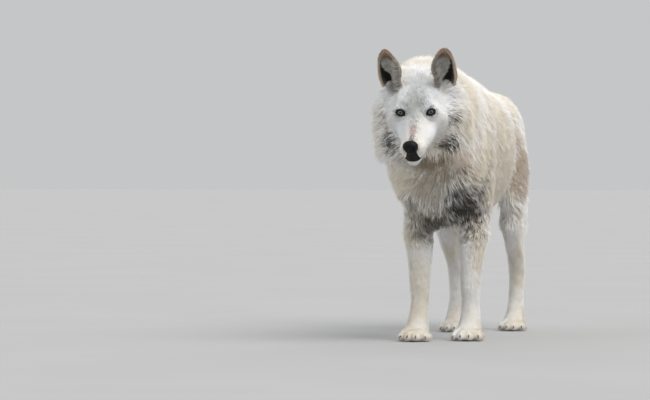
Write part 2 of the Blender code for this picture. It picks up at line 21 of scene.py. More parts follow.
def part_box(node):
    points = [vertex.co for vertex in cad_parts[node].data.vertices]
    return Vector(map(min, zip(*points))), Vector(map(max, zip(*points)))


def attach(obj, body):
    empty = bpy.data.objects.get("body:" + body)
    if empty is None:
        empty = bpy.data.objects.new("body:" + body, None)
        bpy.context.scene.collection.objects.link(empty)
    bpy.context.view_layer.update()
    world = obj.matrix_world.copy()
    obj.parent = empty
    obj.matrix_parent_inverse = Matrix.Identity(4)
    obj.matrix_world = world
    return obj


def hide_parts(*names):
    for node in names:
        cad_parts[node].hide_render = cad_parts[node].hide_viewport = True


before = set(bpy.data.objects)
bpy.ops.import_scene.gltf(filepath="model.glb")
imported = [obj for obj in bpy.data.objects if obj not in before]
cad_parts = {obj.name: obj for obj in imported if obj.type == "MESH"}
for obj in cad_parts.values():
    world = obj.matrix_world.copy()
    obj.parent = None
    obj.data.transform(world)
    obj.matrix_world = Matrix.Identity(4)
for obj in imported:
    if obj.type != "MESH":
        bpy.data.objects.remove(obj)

Triple = tuple[float, float, float]
Thing = bpy.types.Object

LOG = logging.getLogger("arctic_wolf")
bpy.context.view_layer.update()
BODY = "root"
FIRST_VOXEL = 0.0070  # edge of the skin's faces while it is drawn in under the coat, in metres
SKIN_VOXEL = 0.0056  # edge of the finished skin's faces
TUFTS_A_PIECE = 32800  # a tuft has six faces, and a piece stays under 200,000
PATCH = 0.003  # width of one tuft's patch on the bake map
SPINDLE = ((0, 2, 1), (0, 3, 2), (0, 1, 3), (4, 1, 2), (4, 2, 3), (4, 3, 1))  # a tuft's faces
RIDGE = 1  # the corner of a tuft that points away from the body
RING = (math.pi / 2, math.pi * 7 / 6, math.pi * 11 / 6)  # the turns of its three widest corners
FLATNESS = 0.55  # a tuft's thickness over its width
ROOT_DEPTH = 0.0012  # how deep its root lies under the skin
ARCH = (0.40, 0.74)  # where it is widest, as shares of its run and its height
READ_AT = 0.75  # where along it its colour is read
FORM = (0.25, 0.26)  # how much its shading shows of its own form, over and to the sides
HEIGHTS = (0.34, 0.68, 0.7)  # its least height, what chance adds, and the power that chance is raised to
TALL = (0.80, 1.05)  # the height of a lock's middle tuft
RUNS = (0.65, 1.15)  # chance's share in a tuft's run,
WIDTHS = (0.7, 1.25)  # in its width
PULLS = (0.45, 1.15)  # and in how far it is drawn into its lock
SWELLS = ((0.22, 0.11, 5), (0.16, 0.035, 6))  # swells of the lie: turn in radians, width and draw
COAT_SEED, EAR_SEED, EAR_HAIR_SEED = 100, 300, 310
GAZE = tuple(Vector((0.222, -0.975, -0.015)).normalized())
EYE_SPOT = (0.043, 0.002, -0.002)  # where the fur parts round the left eye, in the head's axes
EYE_TILT = math.radians(19.0)  # how far an eye's outer corner stands over its inner one
EYE_BLACK = (0.0138, 0.0102)  # half the length and height of the black rim round an eye
MIRROR = ((1, 1, 1), (-1, 1, 1))  # what turns a place on the left to each side


class Side(Enum):
    """The wolf's own left and right."""

    LEFT = 1
    RIGHT = -1

    @property
    def word(self) -> str:
        """The side's name as the frame's nodes end."""
        return self.name.lower()


class Zone(Enum):
    """A piece of the coat, with the frame's nodes it grows over."""

    FACE = ("head", "muzzle", "lower_jaw")
    NECK = ("neck",)
    CHEST = ("chest",)
    BARREL = ("barrel",)
    RUMP = ("rump",)
    TAIL = ("tail",)
    FORE_LEFT = ("shoulder_left", "forearm_left", "forepaw_left")
    FORE_RIGHT = ("shoulder_right", "forearm_right", "forepaw_right")
    HIND_LEFT = ("thigh_left", "shank_left", "hindpaw_left")
    HIND_RIGHT = ("thigh_right", "shank_right", "hindpaw_right")
    RUFF = ()


FLESH = tuple(node for zone in Zone for node in zone.value)
HEAD_NODES = len(Zone.FACE.value)  # the nodes of the head come first


def claw_names() -> Iterator[tuple[str, str]]:
    """The limb of each claw, and the rest of its name."""
    for limb in ("fore", "hind"):
        for side in Side:
            yield from ((limb, f"{side.word}_{number}") for number in range(1, 5))


# ---------------------------------------------------------------- sums on arrays


def ramp(low: float, high: float, values: np.ndarray) -> np.ndarray:
    """A soft step of values from 0 at low to 1 at high, which may be the lower of the two."""
    share = np.clip((values - low) / (high - low), 0.0, 1.0)
    return share * share * (3.0 - 2.0 * share)


def bell(distance: np.ndarray, size: float) -> np.ndarray:
    """A round swelling: 1 in the middle, and a third at its size."""
    return np.exp(-((distance / size) ** 2))


def unit(vectors: np.ndarray) -> np.ndarray:
    """Rows of vectors brought to length one."""
    return vectors / np.maximum(np.linalg.norm(vectors, axis=1, keepdims=True), 1e-9)


def away(points: np.ndarray, place: Sequence[float]) -> np.ndarray:
    """How far each row of points lies from a place."""
    return np.linalg.norm(points - np.array(place), axis=1)


def flat_to(vectors: np.ndarray, normals: np.ndarray) -> np.ndarray:
    """Vectors laid into the planes whose normals are given, at length one."""
    return unit(vectors - normals * np.einsum("ij,ij->i", vectors, normals)[:, None])


def folded(local: np.ndarray) -> tuple[np.ndarray, np.ndarray, np.ndarray]:
    """How far places in the head's axes lie off its middle, ahead and up."""
    return np.abs(local[:, 0]), local[:, 1], local[:, 2]


def waves(points: np.ndarray, size: float, seed: int, count: int = 10) -> np.ndarray:
    """Soft random swells over space.

    Args:
        points: places, one a row.
        size: width of a swell in metres.
        seed: which set of swells.
        count: how many waves are summed.

    Returns:
        One number a place, mostly within -1 and 1.
    """
    draw = np.random.default_rng(seed)
    ways = unit(draw.normal(size=(count, 3))) * (math.pi / size) * draw.uniform(0.6, 1.5, (count, 1))
    return np.sin(points @ ways.T + draw.uniform(0, 2 * math.pi, count)).sum(1) / math.sqrt(count * 0.5)


def search(places: np.ndarray) -> KDTree:
    """A tree that finds the nearest of some places."""
    tree = KDTree(len(places))
    for number, place in enumerate(places.tolist()):
        tree.insert(place, number)
    tree.balance()
    return tree


def read(items: Any, key: str, width: int, kind: type = float) -> np.ndarray:
    """One property of a mesh's items, one row an item."""
    table = np.zeros(len(items) * width, kind)
    items.foreach_get(key, table)
    return table.reshape(-1, width)


@dataclass
class Surface:
    """A surface of triangles held as arrays.

    Args:
        points: its corners, one a row.
        triangles: three corner numbers a row.
    """

    points: np.ndarray
    triangles: np.ndarray
    edges: np.ndarray = field(init=False)
    valence: np.ndarray = field(init=False)

    def __post_init__(self) -> None:
        """Finds the edges once."""
        t = self.triangles
        self.edges = np.unique(np.sort(np.vstack((t[:, :2], t[:, 1:], t[:, ::2])), axis=1), axis=0)
        self.valence = np.maximum(np.bincount(self.edges.ravel(), minlength=len(self.points)), 1)

    @classmethod
    def of(cls, thing: Thing) -> "Surface":
        """Reads an object's mesh."""
        mesh = thing.data
        mesh.calc_loop_triangles()
        return cls(read(mesh.vertices, "co", 3), read(mesh.loop_triangles, "vertices", 3, np.int32))

    def blurred(self, values: np.ndarray, rounds: int, share: float = 0.5) -> np.ndarray:
        """Values spread over the surface.

        Args:
            values: one row a corner.
            rounds: how often each corner takes its neighbours' mean.
            share: how much of it.

        Returns:
            The values after the last round.
        """
        table = np.array(values, float).reshape(len(values), -1)
        a, b = self.edges.T
        for _ in range(rounds):
            sums = [np.bincount(a, c[b], len(c)) + np.bincount(b, c[a], len(c)) for c in table.T]
            table = table + share * (np.stack(sums, axis=1) / self.valence[:, None] - table)
        return table.reshape(np.shape(values))

    def relax(self, rounds: int) -> None:
        """Smooths the surface without shrinking it."""
        for _ in range(rounds):
            for share in (0.5, -0.52):
                self.points = self.blurred(self.points, 1, share)

    def crosses(self) -> np.ndarray:
        """The triangles' normals, each as long as twice its area."""
        a, b, c = (self.points[corner] for corner in self.triangles.T)
        return np.cross(b - a, c - a)

    def normals(self) -> np.ndarray:
        """The corners' normals, outwards."""
        total = [sum(np.bincount(corner, column, len(self.points)) for corner in self.triangles.T)
                 for column in self.crosses().T]
        return unit(np.stack(total, axis=1))

    def areas(self) -> np.ndarray:
        """The triangles' areas in square metres."""
        return np.linalg.norm(self.crosses(), axis=1) / 2

    def tree(self) -> BVHTree:
        """A search tree of the surface."""
        return BVHTree.FromPolygons(self.points.tolist(), self.triangles.tolist())


# ---------------------------------------------------------------- meshes and objects


def alone(thing: Thing) -> Thing:
    """Selects one object and nothing else, and makes it the active one."""
    bpy.ops.object.select_all(action="DESELECT")
    thing.select_set(True)
    bpy.context.view_layer.objects.active = thing
    return thing


def linked(name: str, data: Any) -> Thing:
    """A new object of the given data, linked to the scene."""
    thing = bpy.data.objects.new(name, data)
    bpy.context.scene.collection.objects.link(thing)
    return thing


def mesh_object(name: str, points: np.ndarray, triangles: np.ndarray) -> Thing:
    """A smooth shaded object from arrays.

    Args:
        name: the piece's name.
        points: its corners.
        triangles: three corner numbers a row, counter-clockwise from outside.

    Returns:
        The new object.
    """
    mesh = bpy.data.meshes.new(name)
    mesh.vertices.add(len(points))
    mesh.vertices.foreach_set("co", np.asarray(points, np.float32).ravel())
    mesh.loops.add(3 * len(triangles))
    mesh.loops.foreach_set("vertex_index", np.asarray(triangles, np.int32).ravel())
    mesh.polygons.add(len(triangles))
    mesh.polygons.foreach_set("loop_start", np.arange(0, 3 * len(triangles), 3, dtype=np.int32))
    mesh.update(calc_edges=True)
    mesh.shade_smooth()
    return linked(name, mesh)


def moved(piece: Thing, points: np.ndarray) -> None:
    """Puts a piece's corners at new places."""
    piece.data.vertices.foreach_set("co", points.astype(np.float32).ravel())


def stored(piece: Thing, name: str, values: np.ndarray) -> None:
    """Keeps three numbers a corner on a piece, for its finish to read."""
    layer = piece.data.attributes.new(name, "FLOAT_VECTOR", "POINT")
    layer.data.foreach_set("vector", values.astype(np.float32).ravel())


def edited(piece: Thing, operator: Callable, **settings: Any) -> Thing:
    """Runs one edit-mode operator on all of a piece."""
    alone(piece)
    bpy.ops.object.mode_set(mode="EDIT")
    bpy.ops.mesh.select_all(action="SELECT")
    operator(**settings)
    bpy.ops.object.mode_set(mode="OBJECT")
    return piece


def outward(piece: Thing) -> Thing:
    """Turns a closed piece's faces outwards."""
    return edited(piece, bpy.ops.mesh.normals_make_consistent, inside=False)


def joined(first: Thing, others: Iterable[Thing]) -> Thing:
    """Joins other objects into the first."""
    alone(first)
    for other in others:
        other.select_set(True)
    bpy.ops.object.join()
    return first


def remeshed(thing: Thing, voxel: float) -> Thing:
    """Closes everything in an object into one skin of even faces."""
    alone(thing)
    thing.data.remesh_voxel_size = voxel
    thing.data.remesh_voxel_adaptivity = 0.0
    bpy.ops.object.voxel_remesh()
    return thing


def merged_copy(nodes: Iterable[str], name: str) -> Thing:
    """One object with a merged copy of each node's mesh, closed and facing outwards."""
    work = bmesh.new()
    for node in nodes:
        work.from_mesh(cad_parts[node].data)
    bmesh.ops.remove_doubles(work, verts=work.verts, dist=1e-5)
    mesh = bpy.data.meshes.new(name)
    work.to_mesh(mesh)
    work.free()
    return linked(name, mesh)


def smooth_copy(node: str, name: str) -> Thing:
    """A merged copy of one node with its facets rounded."""
    piece = alone(merged_copy((node,), name))
    modifier = piece.modifiers.new("rounding", "SUBSURF")
    modifier.levels = modifier.render_levels = 2
    bpy.ops.object.modifier_apply(modifier=modifier.name)
    piece.data.shade_smooth()
    return piece


def ball(name: str, centre: Sequence[float], radii: Sequence[float], turn: Matrix | None = None,
         segments: int = 32, rings: int = 20) -> Thing:
    """A ball with three radii, its place held in its mesh.

    Args:
        name: the object's name.
        centre: its middle in metres.
        radii: half its size along each of its axes.
        turn: how its axes stand, or None.
        segments: faces round it.
        rings: faces from pole to pole.

    Returns:
        The new object at the origin.
    """
    bpy.ops.object.select_all(action="DESELECT")
    bpy.ops.mesh.primitive_uv_sphere_add(segments=segments, ring_count=rings, radius=1.0)
    thing = bpy.context.object
    thing.name = thing.data.name = name
    stand = turn.to_4x4() if turn else Matrix.Identity(4)
    thing.data.transform(Matrix.Translation(centre) @ stand @ Matrix.Diagonal((*radii, 1.0)))
    thing.data.shade_smooth()
    return thing


def tube(name: str, path: np.ndarray, out: np.ndarray, wide: np.ndarray, thick: np.ndarray,
         closed: bool = False, around: int = 10) -> Thing:
    """A tube of flattened rings along a path.

    Args:
        name: the piece's name.
        path: its middle line, one place a row.
        out: the way each ring's thickness points.
        wide: half the width of each ring.
        thick: half its thickness.
        closed: whether the path is a loop.
        around: corners of a ring.

    Returns:
        The piece.
    """
    count = len(path)
    steps = np.roll(path, -1, axis=0) - np.roll(path, 1, axis=0) if closed else np.gradient(path, axis=0)
    across = unit(np.cross(unit(steps), out))
    out = np.cross(across, unit(steps))
    turns = np.arange(around) * 2 * math.pi / around
    rings = (path[:, None] + (wide[:, None] * np.cos(turns))[..., None] * across[:, None]
             + (thick[:, None] * np.sin(turns))[..., None] * out[:, None])
    points = rings.reshape(-1, 3)
    pairs = [(j, (j + 1) % around) for j in range(around)]
    triangles = []
    for i in range(count if closed else count - 1):
        a, b = i * around, (i + 1) % count * around
        for j, k in pairs:
            triangles += [(a + j, a + k, b + k), (a + j, b + k, b + j)]
    if not closed:
        points = np.vstack((points, path[0], path[-1]))
        last, foot, tip = (count - 1) * around, count * around, count * around + 1
        for j, k in pairs:
            triangles += [(foot, k, j), (tip, last + j, last + k)]
    return outward(mesh_object(name, points, np.array(triangles)))


def kept(piece: Thing, material: bpy.types.Material, slot: str, *nodes: str) -> Thing:
    """Gives a piece its finish and its body, hides the nodes that it stands for, and reports it."""
    piece.data.materials.clear()
    piece.data.materials.append(material)
    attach(piece, BODY)
    if nodes:
        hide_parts(*nodes)
    LOG.info("%s: %d faces", piece.name, len(piece.data.polygons))
    return piece


# ---------------------------------------------------------------- the head's axes and the eyes


@dataclass(frozen=True)
class HeadFrame:
    """The head's own axes: side to the wolf's left, ahead to the nose and up to the crown, from
    the middle between the eyes.

    Args:
        pitch: how far the face points down, in degrees.
        yaw: how far the nose turns to the wolf's right, in degrees.
        roll: how far the crown leans, in degrees.
        start: how far the axes start from the middle of both eyeballs.
    """

    pitch: float = 30.0
    yaw: float = 2.1
    roll: float = 1.0
    start: Triple = (0.0, 0.002, 0.002)

    @property
    def centre(self) -> Vector:
        """Where the axes start, from the frame's own eyes."""
        boxes = [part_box(f"eye_{side.word}") for side in Side]
        middle = sum((low + high for low, high in boxes), Vector()) / 4
        return middle + self.turn() @ Vector(self.start)

    def turn(self) -> Matrix:
        """How the head's axes stand, as a matrix of three by three."""
        angles = (math.radians(v) for v in (self.pitch, -self.roll, self.yaw))
        return Euler(tuple(angles), "XYZ").to_matrix()

    def way(self, side: float, ahead: float, up: float) -> Vector:
        """A direction given in the head's axes."""
        return self.turn() @ Vector((side, -ahead, up))

    def point(self, side: float, ahead: float, up: float) -> Vector:
        """A place given in the head's axes."""
        return self.centre + self.way(side, ahead, up)

    def local(self, points: np.ndarray) -> np.ndarray:
        """Places as side, ahead and up, one a row."""
        return (points - np.array(self.centre)) @ np.array(self.turn()) * (1, -1, 1)

    def ways(self, locals_: np.ndarray) -> np.ndarray:
        """Rows of side, ahead and up as directions."""
        return (np.asarray(locals_) * (1, -1, 1)) @ np.array(self.turn()).T

    def placed(self, locals_: np.ndarray) -> np.ndarray:
        """Rows of side, ahead and up as places."""
        return self.ways(locals_) + np.array(self.centre)


HEAD = HeadFrame()


def eye_centre(side: Side) -> Triple:
    """The middle of an eyeball, from the frame's own eye."""
    low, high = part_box(f"eye_{side.word}")
    return tuple((low + high) / 2)


def eye_axes(side: Side) -> tuple[np.ndarray, np.ndarray]:
    """Which way an eye's outer corner and its upper lid lie, across its gaze."""
    gaze = np.array(GAZE)
    up = unit(np.array([(0, 0, 1.0)]) - gaze * gaze[2])[0]
    lateral = np.cross(up, gaze)
    if np.dot(lateral, np.array(HEAD.way(side.value, 0, 0))) < 0:
        lateral = -lateral
    cosine, sine = math.cos(EYE_TILT), math.sin(EYE_TILT)
    return cosine * lateral + sine * up, cosine * up - sine * lateral


# ---------------------------------------------------------------- how the coat grows


@dataclass(frozen=True)
class Fur:
    """How the coat grows on one part, in metres.

    Args:
        depth: how far the skin lies under the coat's tips.
        run: how far a tuft reaches along the body.
        width: a tuft's width.
        crowd: tufts on a square centimetre.
        lock: how strongly tufts are drawn into locks, 0 to 1.
        lie: the way it grows, before it is laid along the skin.
    """

    depth: float
    run: float
    width: float
    crowd: float
    lock: float
    lie: Triple


FURS = {
    "barrel": Fur(0.026, 0.042, 0.0024, 9.6, 0.22, (0.0, 1.0, -0.45)),
    "chest": Fur(0.030, 0.040, 0.0023, 19.0, 0.32, (0.0, 0.55, -0.85)),
    "rump": Fur(0.024, 0.040, 0.0024, 13.0, 0.25, (0.0, 0.90, -0.55)),
    "neck": Fur(0.034, 0.046, 0.0024, 22.0, 0.28, (0.0, 0.75, -0.62)),
    "head": Fur(0.007, 0.0110, 0.0013, 54.0, 0.25, (0.0, 0.9, 0.3)),
    "muzzle": Fur(0.0035, 0.0060, 0.0010, 85.0, 0.15, (0.0, 0.9, 0.3)),
    "lower_jaw": Fur(0.0035, 0.0075, 0.0012, 55.0, 0.20, (0.0, 0.9, -0.1)),
    "tail": Fur(0.016, 0.050, 0.0026, 16.0, 0.50, (0.0, 0.42, -1.0)),
    "shoulder": Fur(0.022, 0.036, 0.0023, 12.0, 0.28, (0.0, 0.50, -0.85)),
    "forearm": Fur(0.0065, 0.014, 0.0016, 17.5, 0.20, (0.0, 0.20, -1.0)),
    "forepaw": Fur(0.0030, 0.008, 0.0012, 27.0, 0.15, (0.0, -0.55, -0.6)),
    "thigh": Fur(0.022, 0.036, 0.0024, 10.4, 0.28, (0.0, 0.62, -0.78)),
    "shank": Fur(0.0075, 0.015, 0.0016, 16.0, 0.20, (0.0, 0.30, -1.0)),
    "hindpaw": Fur(0.0030, 0.008, 0.0012, 25.0, 0.15, (0.0, -0.55, -0.6)),
}


def fur_of(node: str) -> Fur:
    """The growth over one of the frame's nodes."""
    return FURS[node.replace("_left", "").replace("_right", "")]


@dataclass(frozen=True)
class FaceGrowth:
    """Where the head's long fur stands, in the head's axes and in metres.

    Args:
        ruff: extra depth of the mane behind the cheeks.
        throat: extra depth under the jaw.
        crown: extra depth between the ears.
    """

    ruff: float = 0.022
    throat: float = 0.016
    crown: float = 0.012

    def parts(self, local: np.ndarray) -> tuple[np.ndarray, np.ndarray, np.ndarray]:
        """How much each place is ruff, throat and crown, 0 to 1."""
        side, ahead, up = folded(local)
        ruff = ramp(0.052, 0.088, side + 0.25 * np.clip(-up, 0, 0.1)) * ramp(0.004, -0.040, ahead)
        ruff *= ramp(0.055, 0.020, up)
        throat = ramp(-0.085, -0.118, up) * ramp(0.030, -0.020, ahead)
        crown = ramp(-0.045, -0.085, ahead) * ramp(0.020, 0.050, up)
        return ruff, throat, crown

    def extra(self, local: np.ndarray) -> np.ndarray:
        """The extra depth of the coat in metres."""
        ruff, throat, crown = self.parts(local)
        return np.maximum(np.maximum(self.ruff * ruff, self.throat * throat), self.crown * crown)


GROWTH = FaceGrowth()


@dataclass
class Flesh:
    """The frame's nodes of flesh: whose place a point is, and how much room there is to their outline.

    Args:
        outline: the nodes fused into one.
        cast: how far the outline is looked for along a normal.
    """

    tree: BVHTree = field(init=False)
    owner: np.ndarray = field(init=False)
    outline: BVHTree | None = None
    cast: float = 0.12

    def __post_init__(self) -> None:
        """Puts all the nodes into one search tree."""
        points: list = []
        faces: list = []
        owner: list[int] = []
        for number, node in enumerate(FLESH):
            part = Surface.of(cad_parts[node])
            faces += (part.triangles + len(points)).tolist()
            points += part.points.tolist()
            owner += [number] * len(part.triangles)
        self.tree = BVHTree.FromPolygons(points, faces)
        self.owner = np.array(owner)

    def nearest(self, points: np.ndarray) -> np.ndarray:
        """The number in FLESH of the node nearest to each point."""
        return self.owner[[self.tree.find_nearest(p)[2] for p in points.tolist()]]

    def room(self, points: np.ndarray, normals: np.ndarray) -> np.ndarray:
        """How far each point lies under the outline, along its normal and at most to its nearest face."""
        found = np.zeros(len(points))
        for i, (p, n) in enumerate(zip(points.tolist(), normals.tolist())):
            reach = self.outline.ray_cast(p, n, self.cast)[3]
            near = self.outline.find_nearest(p)[3]
            found[i] = near if reach is None else min(reach, 1.6 * near + 0.004)
        return found


@dataclass(frozen=True)
class Push:
    """One press of the modeller's thumb, in the head's axes and in metres.

    Args:
        place: where, mirrored to the other side if it is off the middle.
        size: how far it reaches.
        move: how far the skin moves in its middle.
    """

    place: Triple
    size: float
    move: Triple


@dataclass(frozen=True)
class FaceForm:
    """The face's own modelling over the drawn-in skin.

    Args:
        rim: how far the skin stands round an eyeball, along the gaze.
        hollow: how much deeper it lies under the ball.
        fall: how much it falls away outside the rim.
        pushes: the folds and swellings.
    """

    rim: float = 0.0070
    hollow: float = 0.0050
    fall: float = 0.0035
    pushes: tuple[Push, ...] = (
        Push((0.000, -0.010, 0.040), 0.016, (0.0, -0.0015, -0.0015)),  # furrow of the forehead
        Push((0.050, -0.014, 0.024), 0.016, (0.0, 0.0020, 0.0025)),  # brow
        Push((0.062, -0.010, -0.020), 0.026, (0.0060, 0.0020, 0.0)),  # cheekbone
        Push((0.045, 0.020, -0.045), 0.024, (0.0050, 0.0, 0.0)),  # flesh of the cheek
        Push((0.040, 0.050, -0.068), 0.030, (0.0045, 0.0, 0.0)),  # flews
        Push((0.072, -0.098, 0.042), 0.026, (0.0080, 0.0, 0.0080)),  # root of the ear
    )

    def shape(self, surface: Surface) -> None:
        """Presses the face into the skin."""
        local = HEAD.local(surface.points)
        for push in self.pushes:
            for flip in MIRROR[:1] if push.place[0] == 0 else MIRROR:
                share = bell(away(local, np.array(push.place) * flip), push.size)
                local = local + share[:, None] * np.array(push.move) * flip
        surface.points = HEAD.placed(local)
        for side in Side:
            self.socket(surface, side)

    def socket(self, surface: Surface, side: Side) -> None:
        """Brings the skin up round one eyeball, and under it."""
        axis = np.array(GAZE)
        out = surface.points - np.array(eye_centre(side))
        height = out @ axis
        ring = np.linalg.norm(out - height[:, None] * axis, axis=1)
        near = ramp(0.030, 0.017, ring) * ramp(-0.030, -0.012, height)
        goal = self.rim - self.hollow * ramp(0.0110, 0.0070, ring) - self.fall * ramp(0.012, 0.026, ring)
        surface.points += (near * (goal - height))[:, None] * axis


@dataclass
class Skin:
    """The one skin over the flesh, drawn in by the coat's depth.

    Args:
        steps: in how many steps it is drawn in.
        toe: half the size of a toe across, along and up.
        behind: how far a toe's middle lies behind its claw.
        lift: how far a toe's underside stays over the floor.
    """

    steps: int = 12
    toe: Triple = (0.0108, 0.0210, 0.0125)
    behind: float = 0.009
    lift: float = 0.0015
    flesh: Flesh = field(default_factory=Flesh)

    def fused(self) -> Surface:
        """The flesh as one closed surface, kept as the outline too."""
        whole = remeshed(merged_copy(FLESH, "wolf_fused"), FIRST_VOXEL)
        surface = Surface.of(whole)
        bpy.data.objects.remove(whole)
        surface.relax(4)
        self.flesh.outline = surface.tree()
        return surface

    def depths(self, surface: Surface) -> np.ndarray:
        """How deep the skin lies under each corner of the outline."""
        owner = self.flesh.nearest(surface.points)
        depth = np.array([fur_of(node).depth for node in FLESH])[owner]
        head = owner == FLESH.index("head")
        depth[head] += GROWTH.extra(HEAD.local(surface.points[head]))
        close = surface.blurred(depth, 8)
        face = surface.blurred((owner < HEAD_NODES).astype(float), 8)
        return face * close + (1 - face) * surface.blurred(close, 30)

    def drawn_in(self, surface: Surface) -> Surface:
        """Moves a surface inwards by the coat's depth, smoothing as it goes."""
        depth = self.depths(surface)
        deep = ramp(0.009, 0.020, depth)[:, None]
        for _ in range(self.steps):
            inward = surface.normals()
            inward += deep * (unit(surface.blurred(inward, 8)) - inward)
            surface.points = surface.points - inward * (depth / self.steps)[:, None]
            surface.relax(1)
            surface.points += deep * (surface.blurred(surface.points, 5) - surface.points)
        return surface

    def toes(self) -> list[Thing]:
        """A rounded toe behind each claw."""
        made = []
        for limb, rest in claw_names():
            low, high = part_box(f"{limb}claw_{rest}")
            centre = ((low.x + high.x) / 2, high.y + self.behind, self.toe[2] + self.lift)
            made.append(ball(f"toe_{limb}_{rest}", centre, self.toe))
        return made

    def build(self) -> Surface:
        """Makes the skin as one closed surface, finer over the face."""
        surface = self.drawn_in(self.fused())
        rough = mesh_object("wolf_skin", surface.points, surface.triangles)
        self.refine(remeshed(joined(rough, self.toes()), SKIN_VOXEL))
        final = Surface.of(rough)
        bpy.data.objects.remove(rough)
        final.relax(2)
        FaceForm().shape(final)
        return final

    def refine(self, thing: Thing) -> None:
        """Halves the edges of the faces round the eyes and over the muzzle."""
        mesh = alone(thing).data
        side, ahead, up = folded(HEAD.local(read(mesh.polygons, "center", 3)))
        eye = away(np.stack((side, ahead, up), axis=1), (EYE_SPOT[0], 0, 0))
        for kind in (mesh.vertices, mesh.edges):
            kind.foreach_set("select", np.zeros(len(kind), bool))
        mesh.polygons.foreach_set("select", (eye < 0.030) | ((ahead > 0.030) & (side < 0.06)))
        bpy.ops.object.mode_set(mode="EDIT")
        bpy.ops.mesh.select_mode(type="FACE")
        bpy.ops.mesh.subdivide(number_cuts=1)
        bpy.ops.object.mode_set(mode="OBJECT")


# ---------------------------------------------------------------- shader sums


def tint(red: float, green: float, blue: float) -> tuple[float, float, float, float]:
    """A colour given as on a paint chart, 0 to 255, as linear light."""
    return (*(((v / 255 + 0.055) / 1.055) ** 2.4 if v > 10 else v / 3294.6 for v in (red, green, blue)), 1.0)


def math_node(operation: str) -> Callable[["Value", Any], "Value"]:
    """The method for one of Python's operators.

    Args:
        operation: the operation of the Math node that it adds.

    Returns:
        The method.
    """

    def method(self: "Value", other: Any) -> "Value":
        """The output of a Math node on this value and other."""
        return self.sum(operation, other)

    return method


class Value:
    """A number or vector in a material's tree, on which Python's operators add Math nodes."""

    def __init__(self, tree: "Tree", socket: bpy.types.NodeSocket) -> None:
        """Wraps a node's output."""
        self.tree, self.socket = tree, socket

    def sum(self, operation: str, *others: Any) -> "Value":
        """A Math node on this value and others."""
        return self.tree.out("ShaderNodeMath", {"operation": operation}, dict(enumerate((self, *others))))

    __add__ = __radd__ = math_node("ADD")
    __mul__ = __rmul__ = math_node("MULTIPLY")
    __sub__ = math_node("SUBTRACT")
    __pow__ = math_node("POWER")

    def __rsub__(self, other: Any) -> "Value":
        """Other less this."""
        return self.tree.out("ShaderNodeMath", {"operation": "SUBTRACT"}, {0: other, 1: self})

    def step(self, low: float, high: float) -> "Value":
        """A soft step from 0 at low to 1 at high, which may be the lower of the two."""
        ends = {1: low, 2: high, 3: 0.0, 4: 1.0} if low <= high else {1: high, 2: low, 3: 1.0, 4: 0.0}
        return self.tree.out("ShaderNodeMapRange", {"interpolation_type": "SMOOTHSTEP"}, {0: self, **ends})


